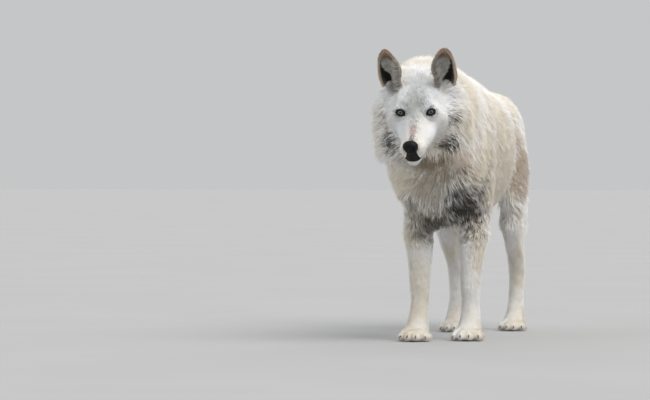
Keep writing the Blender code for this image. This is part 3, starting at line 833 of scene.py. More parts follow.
class Tree:
    """The node tree of one material.

    Args:
        name: the material's name.
        roughness: fixed roughness, unless one is plugged in later.
        fixed: other sockets of the shader that are the same all over.
    """

    def __init__(self, name: str, roughness: float = 0.6, **fixed: float) -> None:
        """Starts the material with its shader."""
        self.material = bpy.data.materials.new(name)
        self.material.use_nodes = True
        self.nodes = self.material.node_tree.nodes
        self.shader = self.nodes["Principled BSDF"]
        for key, number in {"Roughness": roughness, **fixed}.items():
            self.shader.inputs[key.replace("_", " ")].default_value = number

    def out(self, kind: str, settings: dict | None = None, inputs: dict | None = None,
            socket: str | int = 0) -> Value:
        """Adds any node and returns one of its outputs.

        Args:
            kind: the node's type.
            settings: its properties, set first.
            inputs: values or links by socket name or number.
            socket: which output.

        Returns:
            The output.
        """
        node = self.nodes.new(kind)
        for key, choice in (settings or {}).items():
            setattr(node, key, choice)
        for key, given in (inputs or {}).items():
            if isinstance(given, Value):
                self.material.node_tree.links.new(given.socket, node.inputs[key])
            else:
                node.inputs[key].default_value = given
        return Value(self, node.outputs[socket])

    def place(self) -> Value:
        """The place on the object."""
        return self.out("ShaderNodeTexCoord", socket="Object")

    def attribute(self, name: str) -> Value:
        """A vector stored on the mesh."""
        return self.out("ShaderNodeAttribute", {"attribute_name": name}, socket="Vector")

    def parts(self, vector: Value) -> list[Value]:
        """The three numbers of a vector."""
        return [self.out("ShaderNodeSeparateXYZ", inputs={0: vector}, socket=axis) for axis in "XYZ"]

    def vector(self, operation: str, first: Value, other: Any = (0, 0, 0), socket: str | int = 0) -> Value:
        """A Vector Math node on two vectors."""
        return self.out("ShaderNodeVectorMath", {"operation": operation}, {0: first, 1: other}, socket)

    def length(self, vector: Value) -> Value:
        """A vector's length."""
        return self.vector("LENGTH", vector, socket="Value")

    def noise(self, vector: Value, scale: float, detail: float = 2.0, stretch: Triple = (1, 1, 1)) -> Value:
        """A cloudy noise, 0 to 1, about 0.5.

        Args:
            vector: where it is read.
            scale: swells in a metre.
            detail: how many finer layers.
            stretch: the scale's share along each axis.

        Returns:
            The noise.
        """
        if stretch != (1, 1, 1):
            vector = self.vector("MULTIPLY", vector, stretch)
        return self.out("ShaderNodeTexNoise", {}, {"Vector": vector, "Scale": scale, "Detail": detail,
                                                   "Roughness": 0.5})

    def mix(self, first: Value | Triple, second: Value | Triple, share: Any) -> Value:
        """A colour between two, each a value or as on a paint chart."""
        ends = [end if isinstance(end, Value) else tint(*end) for end in (first, second)]
        return self.out("ShaderNodeMix", {"data_type": "RGBA"}, {0: share, 6: ends[0], 7: ends[1]}, 2)

    def darkened(self, colour: Any, share: Any) -> Value:
        """A colour multiplied by grey, from 0 black to 1 unchanged."""
        grey = self.out("ShaderNodeCombineColor", {}, {0: share, 1: share, 2: share})
        return self.out("ShaderNodeMix", {"data_type": "RGBA", "blend_type": "MULTIPLY"},
                        {0: 1.0, 6: colour, 7: grey}, 2)

    def feed(self, socket: str, given: Value) -> None:
        """Plugs a value into the shader."""
        self.material.node_tree.links.new(given.socket, self.shader.inputs[socket])

    def bump(self, height: Value, distance: float) -> None:
        """Feeds a height to the shader's normal."""
        self.feed("Normal", self.out("ShaderNodeBump", {}, {"Height": height, "Distance": distance,
                                                            "Strength": 1.0}))


@dataclass(frozen=True)
class Mark:
    """A patch of the coat with its own colour.

    Args:
        place: its middle in metres, in the frame or in the head's axes.
        size: half its width along each axis.
        colour: as on a paint chart.
        strength: its share of the colour in the middle.
        hairs: share of the tufts that carry it, 1 for all.
        on_head: whether place is side, ahead and up.
    """

    place: Triple
    size: Triple
    colour: Triple
    strength: float
    hairs: float = 1.0
    on_head: bool = False

    def middle(self) -> Triple:
        """Its middle in the frame."""
        return tuple(HEAD.point(*self.place)) if self.on_head else self.place


def on_face(place: Triple, size: Triple, colour: Triple, strength: float) -> Mark:
    """A patch given in the head's axes, on all its tufts."""
    return Mark(place, size, colour, strength, 1.0, True)


MARKS = (
    Mark((0.125, -0.02, 0.47), (0.08, 0.4, 0.22), (208, 196, 174), 0.74),  # warm flank
    Mark((0.125, -0.4, 0.57), (0.05, 0.16, 0.14), (240, 230, 214), 0.35),  # side of the neck
    Mark((-0.115, 0.0, 0.48), (0.09, 0.42, 0.2), (234, 224, 204), 0.55),
    Mark((0.128, 0.32, 0.5), (0.046, 0.1, 0.16), (160, 132, 104), 0.6),  # edge of the thigh
    Mark((0.05, -0.43, 0.48), (0.105, 0.08, 0.055), (186, 164, 136), 0.8),  # throat
    Mark((0.02, -0.47, 0.5), (0.08, 0.07, 0.03), (136, 116, 92), 0.88),  # brown under the jaw, partly painted shadow beneath it
    Mark((-0.045, -0.47, 0.497), (0.06, 0.07, 0.036), (158, 150, 134), 0.7),
    Mark((0.112, -0.42, 0.5), (0.045, 0.08, 0.05), (236, 212, 188), 0.6),
    # beige of the lower throat, darkened as painted shade under the head
    Mark((0.01, -0.4, 0.42), (0.085, 0.08, 0.08), (170, 160, 140), 0.7),
    Mark((-0.07, -0.32, 0.365), (0.055, 0.11, 0.06), (160, 154, 146), 0.7),
    # painted shade low on the chest, between the forelegs
    Mark((0.0, -0.3, 0.32), (0.09, 0.11, 0.06), (54, 52, 45), 0.92),
    Mark((0.084, -0.3, 0.372), (0.058, 0.13, 0.12), (50, 46, 41), 0.97, 0.94),  # dark chest patch, darkened further as painted shade low on the chest
    Mark((0.092, -0.26, 0.35), (0.036, 0.09, 0.06), (58, 52, 48), 0.9, 0.6),
    Mark((0.076, -0.488, 0.552), (0.036, 0.055, 0.034), (46, 38, 31), 0.97),  # painted shadow under the left cheek
    Mark((0.098, -0.508, 0.618), (0.024, 0.045, 0.036), (44, 42, 39), 0.92, 0.55),
    # painted shadow under the right cheek and jaw
    Mark((-0.1, -0.5, 0.556), (0.036, 0.055, 0.046), (62, 60, 52), 0.95, 0.92),
    Mark((-0.128, -0.515, 0.64), (0.016, 0.03, 0.016), (50, 48, 46), 0.8, 0.5),
    Mark((0.128, -0.262, 0.41), (0.024, 0.04, 0.105), (44, 38, 36), 0.9, 0.3),  # dark guard hairs
    Mark((0.112, -0.225, 0.33), (0.028, 0.04, 0.03), (142, 106, 82), 0.7, 0.4),
    on_face((0.0, -0.03, 0.03), (0.12, 0.16, 0.13), (234, 239, 244), 0.72),  # cool white of the face
    on_face((0.0, -0.02, 0.055), (0.045, 0.05, 0.04), (176, 178, 176), 0.68),  # forehead
    on_face((0.0, -0.078, 0.062), (0.048, 0.05, 0.034), (208, 209, 206), 0.65),  # crown
    on_face((0.075, -0.088, 0.03), (0.03, 0.04, 0.026), (164, 158, 148), 0.65),  # feet of the ears
    on_face((-0.075, -0.088, 0.03), (0.03, 0.04, 0.026), (116, 112, 106), 0.8),
    on_face((0.0, 0.0, 0.01), (0.028, 0.05, 0.044), (184, 186, 180), 0.7),  # between the eyes
    on_face((0.053, 0.03, -0.052), (0.037, 0.085, 0.07), (252, 252, 253), 0.92),  # white of the muzzle
    on_face((-0.046, 0.026, -0.052), (0.03, 0.08, 0.06), (248, 250, 252), 0.92),
    on_face((0.0, 0.045, -0.006), (0.015, 0.04, 0.03), (186, 184, 181), 0.7),
    on_face((0.002, 0.074, -0.014), (0.016, 0.04, 0.026), (172, 146, 136), 0.78),  # bridge
    on_face((0.0, 0.099, -0.02), (0.015, 0.024, 0.02), (84, 62, 55), 0.92),
    on_face((0.0445, 0.006, -0.002), (0.02, 0.03, 0.0155), (62, 58, 56), 0.85),  # round the eyes
    on_face((-0.0445, 0.006, -0.002), (0.02, 0.03, 0.0155), (62, 58, 56), 0.85),
    Mark((0.0, 0.64, 0.28), (0.08, 0.08, 0.09), (190, 178, 160), 0.5),  # tip of the tail
)


@dataclass(frozen=True)
class CoatFinish:
    """The colours that skin and coat share.

    Args:
        white: the brightest hair.
        cream: hair of the flanks.
        root: how dark a tuft is at its root, painted shade down among the tufts.
        stray: how far a tuft reads its colour from its own place, in metres.
    """

    white: Triple = (250, 249, 247)
    cream: Triple = (240, 232, 216)
    root: float = 0.97
    stray: float = 0.012

    def colour(self, tree: Tree, place: Value, chance: Value, streak: Value) -> Value:
        """The coat's colour at a place.

        Args:
            tree: the material's tree.
            place: where on the body.
            chance: a number of each tuft, 0 to 1.
            streak: a fine noise along the hair, 0 to 1.

        Returns:
            The colour.
        """
        cloud = tree.noise(place, 7.0, 3.0)
        colour = tree.mix(self.cream, self.white, (cloud + 0.22 * streak).step(0.42, 0.74))
        for number, mark in enumerate(MARKS):
            out = tree.vector("SUBTRACT", place, mark.middle())
            gap = tree.length(tree.vector("MULTIPLY", out, tuple(1.0 / s for s in mark.size)))
            share = (gap + 0.9 * (streak - 0.5)).step(1.15, 0.35) * mark.strength
            if mark.hairs < 1.0:
                own = (chance * (3.7 + number)).sum("FRACT")
                share = share * own.step(mark.hairs + 0.03, mark.hairs - 0.03)
            colour = tree.mix(colour, mark.colour, share)
        return colour

    def coat(self) -> bpy.types.Material:
        """The tufts' material."""
        tree = Tree("wolf_coat", 0.62, Specular_IOR_Level=0.25)
        tone = tree.attribute("tone")
        chance, along, lock = tree.parts(tone)
        stray = tree.out("ShaderNodeVectorMath", {"operation": "SCALE"},
                         {0: tree.vector("SUBTRACT", tone, (0.5, 0.5, 0.5)), "Scale": self.stray})
        place = tree.vector("ADD", tree.attribute("root"), stray)
        colour = self.colour(tree, place, chance, (chance + lock) * 0.5)
        # painted shade: each tuft darker towards its root, times its own random tone and its lock's
        shade = self.root + (1.0 - self.root) * along.step(0.0, 0.7)
        shade = shade * (0.94 + 0.09 * chance) * (0.97 + 0.05 * lock)
        tree.feed("Base Color", tree.darkened(colour, shade))
        return tree.material

    def skin(self) -> bpy.types.Material:
        """The skin's material: the coat's colours with fine short hair as bump."""
        tree = Tree("wolf_skin", 0.75, Specular_IOR_Level=0.2)
        place = tree.place()
        fine = tree.noise(place, 420.0, 2.0, (1.0, 0.35, 0.5))
        colour = self.colour(tree, place, tree.noise(place, 300.0, 1.0), fine)
        for side in Side:
            out = tree.vector("SUBTRACT", place, eye_centre(side))
            along, over = (tree.vector("DOT_PRODUCT", out, tuple(axis), "Value") * (1.0 / half)
                           for axis, half in zip(eye_axes(side), EYE_BLACK))
            oval = (along * along + over * over) ** 0.5 + 60.0 * (tree.length(out) - 0.022).step(0.0, 0.004)
            colour = tree.mix((12, 10, 9), colour, (oval + 0.30 * (fine - 0.5)).step(0.95, 1.12))
        lip = tree.parts(tree.attribute("lip"))[0]
        colour = tree.mix(colour, (30, 22, 22), (lip + 0.30 * (fine - 0.5)).step(0.30, 0.60))
        tree.feed("Base Color", tree.darkened(colour, 0.90 + 0.12 * fine))
        tree.bump(fine, 0.0012)
        return tree.material


@dataclass(frozen=True)
class PlainFinish:
    """A small part's finish: two colours clouded together, with a fine relief.

    Args:
        name: the material's name.
        dark: one colour.
        light: the other.
        scale: clouds in a metre.
        roughness: how dull it is.
        relief: height of the relief in metres.
        grain: relief cells in a metre.
        coat: a clear film over it, 0 to 1.
        shine: how strongly it mirrors, 0.5 as most things do.
    """

    name: str
    dark: Triple
    light: Triple
    scale: float
    roughness: float
    relief: float
    grain: float
    coat: float = 0.0
    shine: float = 0.5

    def material(self) -> bpy.types.Material:
        """Makes the material."""
        tree = Tree(self.name, self.roughness, Coat_Weight=self.coat, Coat_Roughness=0.12,
                    Specular_IOR_Level=self.shine)
        place = tree.place()
        cloud = tree.noise(place, self.scale, 3.0)
        tree.feed("Base Color", tree.mix(self.dark, self.light, cloud.step(0.35, 0.70)))
        tree.feed("Roughness", self.roughness * (0.8 + 0.4 * cloud))
        cells = tree.out("ShaderNodeTexVoronoi", {}, {"Vector": place, "Scale": self.grain})
        tree.bump(cells + 0.5 * cloud, self.relief)
        return tree.material


@dataclass(frozen=True)
class EarFinish:
    """The finish of an ear: beige behind and round the rim, browner at the tip, and inside it the painted
    shade of a slanting hollow, black in its depth and turning grey towards the outer edge.

    Args:
        side: which ear.
        beige: two colours of its back and rim.
        tip: of its tip.
        edge: of the inner edge.
    """

    side: Side
    beige: tuple[Triple, Triple] = ((186, 168, 144), (222, 208, 186))
    tip: tuple[Triple, Triple] = ((146, 122, 104), (192, 170, 150))
    edge: tuple[Triple, Triple] = ((92, 84, 78), (128, 118, 108))

    def colour(self, tree: Tree, vary: Value) -> Value:
        """The ear's colour from how far across, how high and how far inside a place lies.

        Args:
            tree: the material's tree.
            vary: a fine variation, 0 to 1.

        Returns:
            The colour.
        """
        across, high, inner = tree.parts(tree.attribute("spot"))
        beige, tip, edge = (tree.mix(*pair, vary) for pair in (self.beige, self.tip, self.edge))
        back = tree.mix(beige, tip, high.step(0.55, 0.95) * 0.8)
        # painted shade of the hollow: black in its depth, grey towards the outer edge
        wall = tree.mix((34, 30, 27), (136, 126, 114), (across - 1.4 * high - 0.1).step(0.10, 0.90))
        wall = tree.mix(wall, edge, (across * -1.0).step(0.0, 0.5))
        wall = tree.mix(wall, tip, high.step(0.62, 0.84))
        wall = tree.mix(wall, (206, 200, 192), (high + 0.12 * vary).step(0.10, -0.04))
        rim = (across * across + (high * high) ** 4.0 * 0.6 + 0.10 * (vary - 0.5)).step(0.50, 0.76)
        return tree.mix(back, wall, inner * (1.0 - rim))

    def skin(self) -> bpy.types.Material:
        """The ear's own skin, with painted shade of the hollow that is blackest in its depth."""
        tree = Tree(f"ear_skin_{self.side.word}", 0.75, Specular_IOR_Level=0.15)
        place = tree.place()
        colour = self.colour(tree, tree.noise(place, 90.0, 3.0).step(0.35, 0.70))
        # painted shade, blackest in the depth of the hollow
        hollow_shade = tree.parts(tree.attribute("hollow_shade"))[0]
        tree.feed("Base Color", tree.mix(colour, (15, 13, 12), hollow_shade.step(0.05, 0.45)))
        tree.bump(tree.noise(place, 500.0, 2.0, (1.0, 1.0, 0.25)), 0.0008)
        return tree.material

    def short(self) -> bpy.types.Material:
        """The short hair of the back, the rim and the outer wall."""
        tree = Tree(f"ear_coat_{self.side.word}", 0.62, Specular_IOR_Level=0.2)
        chance, along, _ = tree.parts(tree.attribute("tone"))
        colour = self.colour(tree, (chance * 0.7 + along * 0.5).step(0.1, 1.1))
        # painted shade: the hairs darker towards their roots
        tree.feed("Base Color", tree.darkened(colour, 0.84 + 0.16 * along.step(0.0, 0.8)))
        return tree.material

    def within(self) -> bpy.types.Material:
        """The long pale hair that grows in from the inner edge."""
        tree = Tree(f"ear_hair_{self.side.word}", 0.6, Specular_IOR_Level=0.25)
        chance, along, _ = tree.parts(tree.attribute("tone"))
        high = tree.parts(tree.attribute("spot"))[1]
        colour = tree.mix((112, 106, 100), (214, 212, 204), (chance * 0.8 + along * 0.5).step(0.1, 1.1))
        colour = tree.mix(colour, (142, 118, 102), high.step(0.68, 0.85) * 0.7)
        # painted shade: the hairs darker towards their roots
        tree.feed("Base Color", tree.darkened(colour, 0.72 + 0.28 * along.step(0.0, 0.8)))
        return tree.material


@dataclass(frozen=True)
class EyeFinish:
    """The eye: a black pupil, a pale grey-green iris with fine spokes, and a dark white.

    Args:
        side: which eye.
        iris: the iris's radius.
        pupil: the pupil's radius.
    """

    side: Side
    iris: float = 0.0066
    pupil: float = 0.0030

    def material(self) -> bpy.types.Material:
        """Makes the material."""
        tree = Tree(f"eye_{self.side.word}", 0.30, Coat_Weight=0.7, Coat_Roughness=0.02,
                    Specular_IOR_Level=0.05)
        place = tree.place()
        cross = tree.vector("CROSS_PRODUCT", tree.vector("SUBTRACT", place, eye_centre(self.side)), GAZE)
        off = tree.length(cross)
        spokes = tree.noise(tree.vector("NORMALIZE", cross), 9.0, 3.0)
        iris = tree.mix((60, 62, 56), (124, 126, 116), (spokes + 40.0 * (off - 0.004)).step(0.30, 0.80))
        iris = tree.mix(iris, (40, 38, 32), off.step(self.iris - 0.0012, self.iris))
        white = tree.mix((60, 50, 44), (30, 24, 22), tree.noise(place, 200.0).step(0.3, 0.7))
        colour = tree.mix(iris, white, off.step(self.iris - 0.0001, self.iris + 0.0003))
        colour = tree.mix((2, 2, 2), colour, off.step(self.pupil - 0.0002, self.pupil + 0.0002))
        tree.feed("Base Color", colour)
        return tree.material


# ---------------------------------------------------------------- the coat


@dataclass
class Growth:
    """Where and how tufts grow on a surface: one row a corner for each.

    Args:
        surface: what they grow on.
        normals: its outward normals.
        reach: height of the coat.
        run: reach along the body.
        width: width of a tuft.
        crowd: tufts on a square centimetre.
        lock: how strongly tufts are drawn into locks.
        lie: the way they grow.
    """

    surface: Surface
    normals: np.ndarray
    reach: np.ndarray
    run: np.ndarray
    width: np.ndarray
    crowd: np.ndarray
    lock: np.ndarray
    lie: np.ndarray

    def where(self, least: float) -> np.ndarray:
        """The numbers of the triangles where more than the least crowd of tufts grows."""
        return np.flatnonzero(self.crowd[self.surface.triangles].mean(1) > least)


@dataclass
class Tufts:
    """Joined tufts over part of a surface. A tuft is a closed spindle of six faces, arched along
    the body, with its root under the skin.

    Args:
        name: the piece's name.
        growth: how they grow.
        chosen: which triangles they grow on.
        seed: which random draw.
        wander: how far a tuft strays from the lie, in radians.
        family: about how many tufts make a lock.
        most: the most tufts.
        carry: fields of the surface that the finish reads, by name.
    """

    name: str
    growth: Growth
    chosen: np.ndarray
    seed: int
    wander: float = 0.16
    family: int = 16
    most: int = TUFTS_A_PIECE
    carry: dict[str, np.ndarray] = field(default_factory=dict)

    def roots(self, draw: np.random.Generator) -> tuple[np.ndarray, np.ndarray]:
        """Draws the tufts' triangles and their places in them.

        Args:
            draw: the random numbers.

        Returns:
            The triangles' numbers among the chosen, and each corner's share.
        """
        surface = self.growth.surface
        corners = surface.triangles[self.chosen]
        load = surface.areas()[self.chosen] * 1e4 * self.growth.crowd[corners].mean(1)
        count = min(int(load.sum()), self.most)
        sums = np.cumsum(load)
        picks = np.searchsorted(sums, (np.arange(count) + draw.random(count)) / count * sums[-1])
        picks = np.clip(picks, 0, len(corners) - 1)
        first, second = np.sqrt(draw.random(count)), draw.random(count)
        return picks, np.stack((1 - first, first * (1 - second), first * second), axis=1)

    def unwrap(self) -> np.ndarray:
        """Unwraps the chosen part of the surface.

        Returns:
            The place of each chosen triangle's three corners on the map.
        """
        used, local = np.unique(self.growth.surface.triangles[self.chosen], return_inverse=True)
        sheet = mesh_object("sheet", self.growth.surface.points[used], local.reshape(-1, 3))
        edited(sheet, bpy.ops.uv.smart_project, angle_limit=math.radians(75), island_margin=0.004)
        places = read(sheet.data.uv_layers.active.uv, "vector", 2)
        bpy.data.meshes.remove(sheet.data)
        return places.reshape(-1, 3, 2)

    def build(self) -> Thing:
        """Makes the piece."""
        grown = self.growth
        draw = np.random.default_rng(self.seed)
        picks, shares = self.roots(draw)
        corners = grown.surface.triangles[self.chosen][picks]
        count = len(picks)

        def at(values: np.ndarray) -> np.ndarray:
            """A field's values at the roots."""
            return np.einsum("ij,ij...->i...", shares, values[corners])

        root, normal = at(grown.surface.points), unit(at(grown.normals))
        angle = draw.normal(0, self.wander, count)
        for turn, size, seed in SWELLS:
            angle += turn * waves(root, size, seed)
        lie = flat_to(at(grown.lie), normal)
        lie = np.cos(angle)[:, None] * lie + np.sin(angle)[:, None] * np.cross(normal, lie)
        least, more, power = HEIGHTS
        height = at(grown.reach) * (least + more * draw.random(count) ** power)
        run = at(grown.run) * draw.uniform(*RUNS, count)
        leaders = draw.permutation(count)[: max(count // self.family, 1)]
        height[leaders] = at(grown.reach)[leaders] * draw.uniform(*TALL, len(leaders))
        near = search(root[leaders])
        mine = np.array([near.find(place)[1] for place in root.tolist()])
        tip = root + lie * run[:, None] + normal * height[:, None]
        arch = root + lie * (ARCH[0] * run)[:, None] + normal * (ARCH[1] * height)[:, None]
        pull = (at(grown.lock) * draw.uniform(*PULLS, count))[:, None]
        drawn = pull * (tip[leaders][mine] - tip)
        tip, arch = tip + drawn, arch + 0.35 * drawn
        half = (at(grown.width) * draw.uniform(*WIDTHS, count) / 2)[:, None]
        along = unit(tip - root)
        aside = unit(np.cross(normal, along))
        over = np.cross(along, aside)
        sides = [math.cos(turn) * aside + FLATNESS * math.sin(turn) * over for turn in RING]
        points = np.stack([root - normal * ROOT_DEPTH, *(arch + half * side for side in sides), tip], axis=1)
        triangles = np.arange(count)[:, None, None] * 5 + np.array(SPINDLE)
        piece = mesh_object(self.name, points.reshape(-1, 3), triangles.reshape(-1, 3))
        stored(piece, "root", np.repeat((1 - READ_AT) * root + READ_AT * tip, 5, axis=0))
        for name, values in self.carry.items():
            stored(piece, name, np.repeat(at(values), 5, axis=0))
        self.tone(piece, draw.random(count), draw.random(len(leaders))[mine])
        self.lean(piece, normal, over, sides)
        self.map(piece, self.unwrap()[picks], shares)
        return piece

    @staticmethod
    def tone(piece: Thing, chance: np.ndarray, lock: np.ndarray) -> None:
        """Stores a number of each tuft, how far along it each corner lies, and a number of its lock."""
        rows = [np.stack((chance, np.full(len(chance), along), lock), axis=1)
                for along in (0.0, 0.5, 0.5, 0.5, 1.0)]
        stored(piece, "tone", np.stack(rows, axis=1))

    @staticmethod
    def lean(piece: Thing, normal: np.ndarray, over: np.ndarray, sides: list[np.ndarray]) -> None:
        """Leans the shading of the tufts' upper faces towards the body's own form.

        Args:
            piece: the joined tufts.
            normal: the skin's normals at the roots.
            over: away from the skin, across each tuft.
            sides: the way each of its three widest corners lies from its middle.
        """
        body = normal + FORM[0] * over
        upper = (body, *(body + FORM[1] * side for side in sides), body)
        under = (-over, *sides, -over)
        leant = [(upper if RIDGE in face else under)[corner] for face in SPINDLE for corner in face]
        piece.data.normals_split_custom_set(unit(np.stack(leant, axis=1).reshape(-1, 3)).tolist())

    @staticmethod
    def map(piece: Thing, places: np.ndarray, shares: np.ndarray) -> None:
        """Gives every tuft its own patch on the bake map, at its root's place on the unwrapped skin."""
        centre = np.einsum("ij,ijk->ik", shares, places) * (1 - PATCH) + PATCH / 2
        spots = np.array(((0.0, -0.5), (0.0, 0.0), (-0.5, 0.0), (0.5, 0.0), (0.0, 0.5))) * PATCH
        table = (centre[:, None] + spots)[:, np.array(SPINDLE).ravel()]
        layer = piece.data.uv_layers.new(name="OFBake")
        layer.uv.foreach_set("vector", table.astype(np.float32).ravel())


@dataclass
class Coat:
    """The coat of the body: how it grows over the skin, and its pieces.

    Args:
        skin: the skin's maker, for the flesh and its outline.
        surface: the finished skin.
        lips: places along the mouth, kept bare.
        heights: the least and the most that it stands from the skin.
        long: what the head's long fur adds to run, width, crowd and lock.
        jowl: what the cheeks add to the run.
        mane: share of the run that is taken off over the withers.
    """

    skin: Skin
    surface: Surface
    lips: np.ndarray
    heights: tuple[float, float] = (0.0012, 0.060)
    long: tuple[float, ...] = (0.044, 0.0012, -32.0, 0.08)
    jowl: float = 0.008
    mane: float = 0.45

    def grown(self) -> tuple[Growth, np.ndarray]:
        """Works out how the coat grows at each corner of the skin.

        Returns:
            The growth, and for each triangle the number of the zone that it belongs to.
        """
        surface, flesh = self.surface, self.skin.flesh
        owner, local, normals = flesh.nearest(surface.points), HEAD.local(surface.points), surface.normals()
        _, ahead, up = folded(local)
        on_head = owner < HEAD_NODES
        ruff, throat, crown = (part * on_head for part in GROWTH.parts(local))
        long = np.maximum(np.maximum(ruff, throat), 0.6 * crown)
        rows = [(fur.run, fur.width, fur.crowd, fur.lock, *fur.lie) for fur in map(fur_of, FLESH)]
        table = np.array(rows)[owner]
        skull = long * (owner == FLESH.index("head"))
        table[:, :4] += np.stack((long, long, skull, long), axis=1) * self.long
        table[on_head, 4:] = self.head_lie(local[on_head], ruff[on_head], throat[on_head])
        jowl = ramp(0.090, 0.030, ahead) * ramp(-0.025, -0.060, up) * on_head
        table[:, 0] += self.jowl * jowl * (1 - long)
        face = surface.blurred(on_head.astype(float), 12)[:, None]
        close = surface.blurred(table, 8)
        table = face * close + (1 - face) * surface.blurred(close, 70)
        mane = ramp(-0.085, -0.115, ahead) * ramp(-0.260, -0.200, ahead) * ramp(0.020, 0.060, up)
        table[:, 0] *= 1 - self.mane * mane
        run, width, crowd, lock = table.T[:4]
        reach = np.clip(surface.blurred(flesh.room(surface.points, normals), 4), *self.heights)
        growth = Growth(surface, normals, reach, run, width, crowd, lock, table[:, 4:])
        self.clear_eyes(growth)
        self.clear_mouth(growth, local)
        soles = normals[:, 2] + 60.0 * surface.points[:, 2]  # low where the skin faces the floor
        growth.crowd = growth.crowd * ramp(-0.6, -0.2, soles)
        zones = np.array([number for number, zone in enumerate(Zone) for _ in zone.value])[owner]
        zones[(zones == 0) & (surface.blurred(long, 4) > 0.35)] = list(Zone).index(Zone.RUFF)
        return growth, zones[surface.triangles[:, 0]]

    def clear_eyes(self, growth: Growth) -> None:
        """Turns the fur away from the eyes, shortens it there, and leaves their black rims bare."""
        points = self.surface.points
        for side in Side:
            eye = np.array(HEAD.point(EYE_SPOT[0] * side.value, *EYE_SPOT[1:]))
            gap = away(points, eye)
            steer = ramp(0.036, 0.017, gap)[:, None]
            growth.lie = growth.lie * (1 - steer) + steer * flat_to(points - eye, growth.normals)
            growth.run = growth.run * (0.30 + 0.70 * ramp(0.014, 0.034, gap))
            out = points - np.array(eye_centre(side))
            shares = [(out @ axis) / half for axis, half in zip(eye_axes(side), EYE_BLACK)]
            furred = ramp(1.00, 1.10, np.linalg.norm(shares, axis=0) + ramp(0.024, 0.030, gap))
            growth.crowd = growth.crowd * furred * (1 + 0.8 * steer[:, 0])
        growth.lie = self.surface.blurred(growth.lie, 8)

    def clear_mouth(self, growth: Growth, local: np.ndarray) -> None:
        """Shortens the fur round the nose and the lips, and leaves the lips bare."""
        near = search(self.lips)
        front = local[:, 1] > -0.02
        lip = np.full(len(local), 1.0)
        lip[front] = [near.find(place)[2] for place in self.surface.points[front].tolist()]
        growth.run = growth.run * (0.5 + 0.5 * ramp(0.018, 0.035, away(local, (0, 0.115, -0.047))))
        growth.run = growth.run * (0.45 + 0.55 * ramp(0.004, 0.014, lip))
        growth.reach = growth.reach * (0.45 + 0.55 * ramp(0.003, 0.012, lip))
        growth.crowd = growth.crowd * ramp(0.0030, 0.0046, lip)
        growth.crowd = growth.crowd * ramp(0.40, 0.15, Mouth().black(local, 0.0014))

    @staticmethod
    def head_lie(local: np.ndarray, ruff: np.ndarray, throat: np.ndarray) -> np.ndarray:
        """The way the head's coat grows: from the nose backwards, and down in the ruff and throat."""
        back = unit(local - (0.0, 0.150, -0.058))
        zero = np.zeros(len(local))
        down = np.stack((0.45 * np.sign(local[:, 0]), zero - 0.15, zero - 1.0), axis=1)
        chin = (ramp(-0.080, -0.092, local[:, 2]) * ramp(-0.020, 0.010, local[:, 1]))[:, None]
        back = back * (1 - chin) + chin * (0.0, -1.0, -0.05)
        back = back + 1.5 * ruff[:, None] * down + throat[:, None] * (0.0, -0.5, -0.7)
        return unit(HEAD.ways(unit(back)))

    def build(self) -> None:
        """Makes one joined piece for each zone."""
        growth, zones = self.grown()
        material = CoatFinish().coat()
        for number, zone in enumerate(Zone):
            chosen = np.flatnonzero(zones == number)
            tufts = Tufts(f"coat_{zone.name.lower()}", growth, chosen, COAT_SEED + number)
            kept(tufts.build(), material, "coat")


# ---------------------------------------------------------------- eyes, nose, mouth, ears and claws


@dataclass(frozen=True)
class Eye:
    """An eyeball with its black lids.

    Args:
        side: which eye.
        ball: its radius.
        swell: how far its clear front bulges.
        opening: half the opening, to the corners, up and down.
        corner: how far the inner corner runs on towards the nose, and down.
        lid: half the width and half the thickness of the lids.
        over: how far the lids lie over the ball.
        around: rings of the lids.
    """

    side: Side
    ball: float = 0.0125
    swell: float = 0.0008
    opening: Triple = (0.0104, 0.0070, 0.0064)
    corner: tuple[float, float] = (0.0046, 0.0026)
    lid: tuple[float, float] = (0.0024, 0.0012)
    over: float = 0.0006
    around: int = 56

    def build(self) -> None:
        """Makes the ball and the lids."""
        word, centre, gaze = self.side.word, eye_centre(self.side), np.array(GAZE)
        turn = Vector(GAZE).to_track_quat("Z", "Y").to_matrix()
        piece = ball(f"eyeball_{word}", centre, (self.ball,) * 3, turn, 40, 28)
        points = read(piece.data.vertices, "co", 3) - np.array(centre)
        swell = self.swell * ramp(self.ball * 0.80, self.ball, points @ gaze)[:, None] * gaze
        moved(piece, points + swell + np.array(centre))
        kept(piece, EyeFinish(self.side).material(), "eye", f"eye_{word}")
        lid = PlainFinish(f"lid_{word}", (5, 4, 4), (14, 11, 11), 300.0, 0.55, 0.0002, 1800.0, 0.0, 0.2)
        kept(self.lids(np.array(centre), gaze), lid.material(), "nose_leather")

    def lids(self, centre: np.ndarray, gaze: np.ndarray) -> Thing:
        """The rim of both lids, drawn out to the inner corner."""
        turns = np.linspace(0, 2 * math.pi, self.around, endpoint=False)
        cosine, sine = np.cos(turns), np.sin(turns)
        across, above, below = self.opening
        inner = ramp(-0.55, -1.0, cosine)
        x = across * cosine - self.corner[0] * inner
        y = np.where(sine > 0, above, below) * sine * np.abs(sine) ** 0.18
        y = y * (1 - 0.35 * inner) - self.corner[1] * inner
        radius, least = self.ball + self.over, 0.0055 + 0.0012 * inner
        z = np.sqrt(np.maximum(radius**2 - x**2 - y**2, least**2))
        first, second = eye_axes(self.side)
        out = x[:, None] * first + y[:, None] * second + z[:, None] * gaze
        wide, thick = self.lid[0] * (1 + 0.15 * sine), np.full(self.around, self.lid[1])
        return tube(f"eyelids_{self.side.word}", centre + out, unit(out), wide, thick, True)


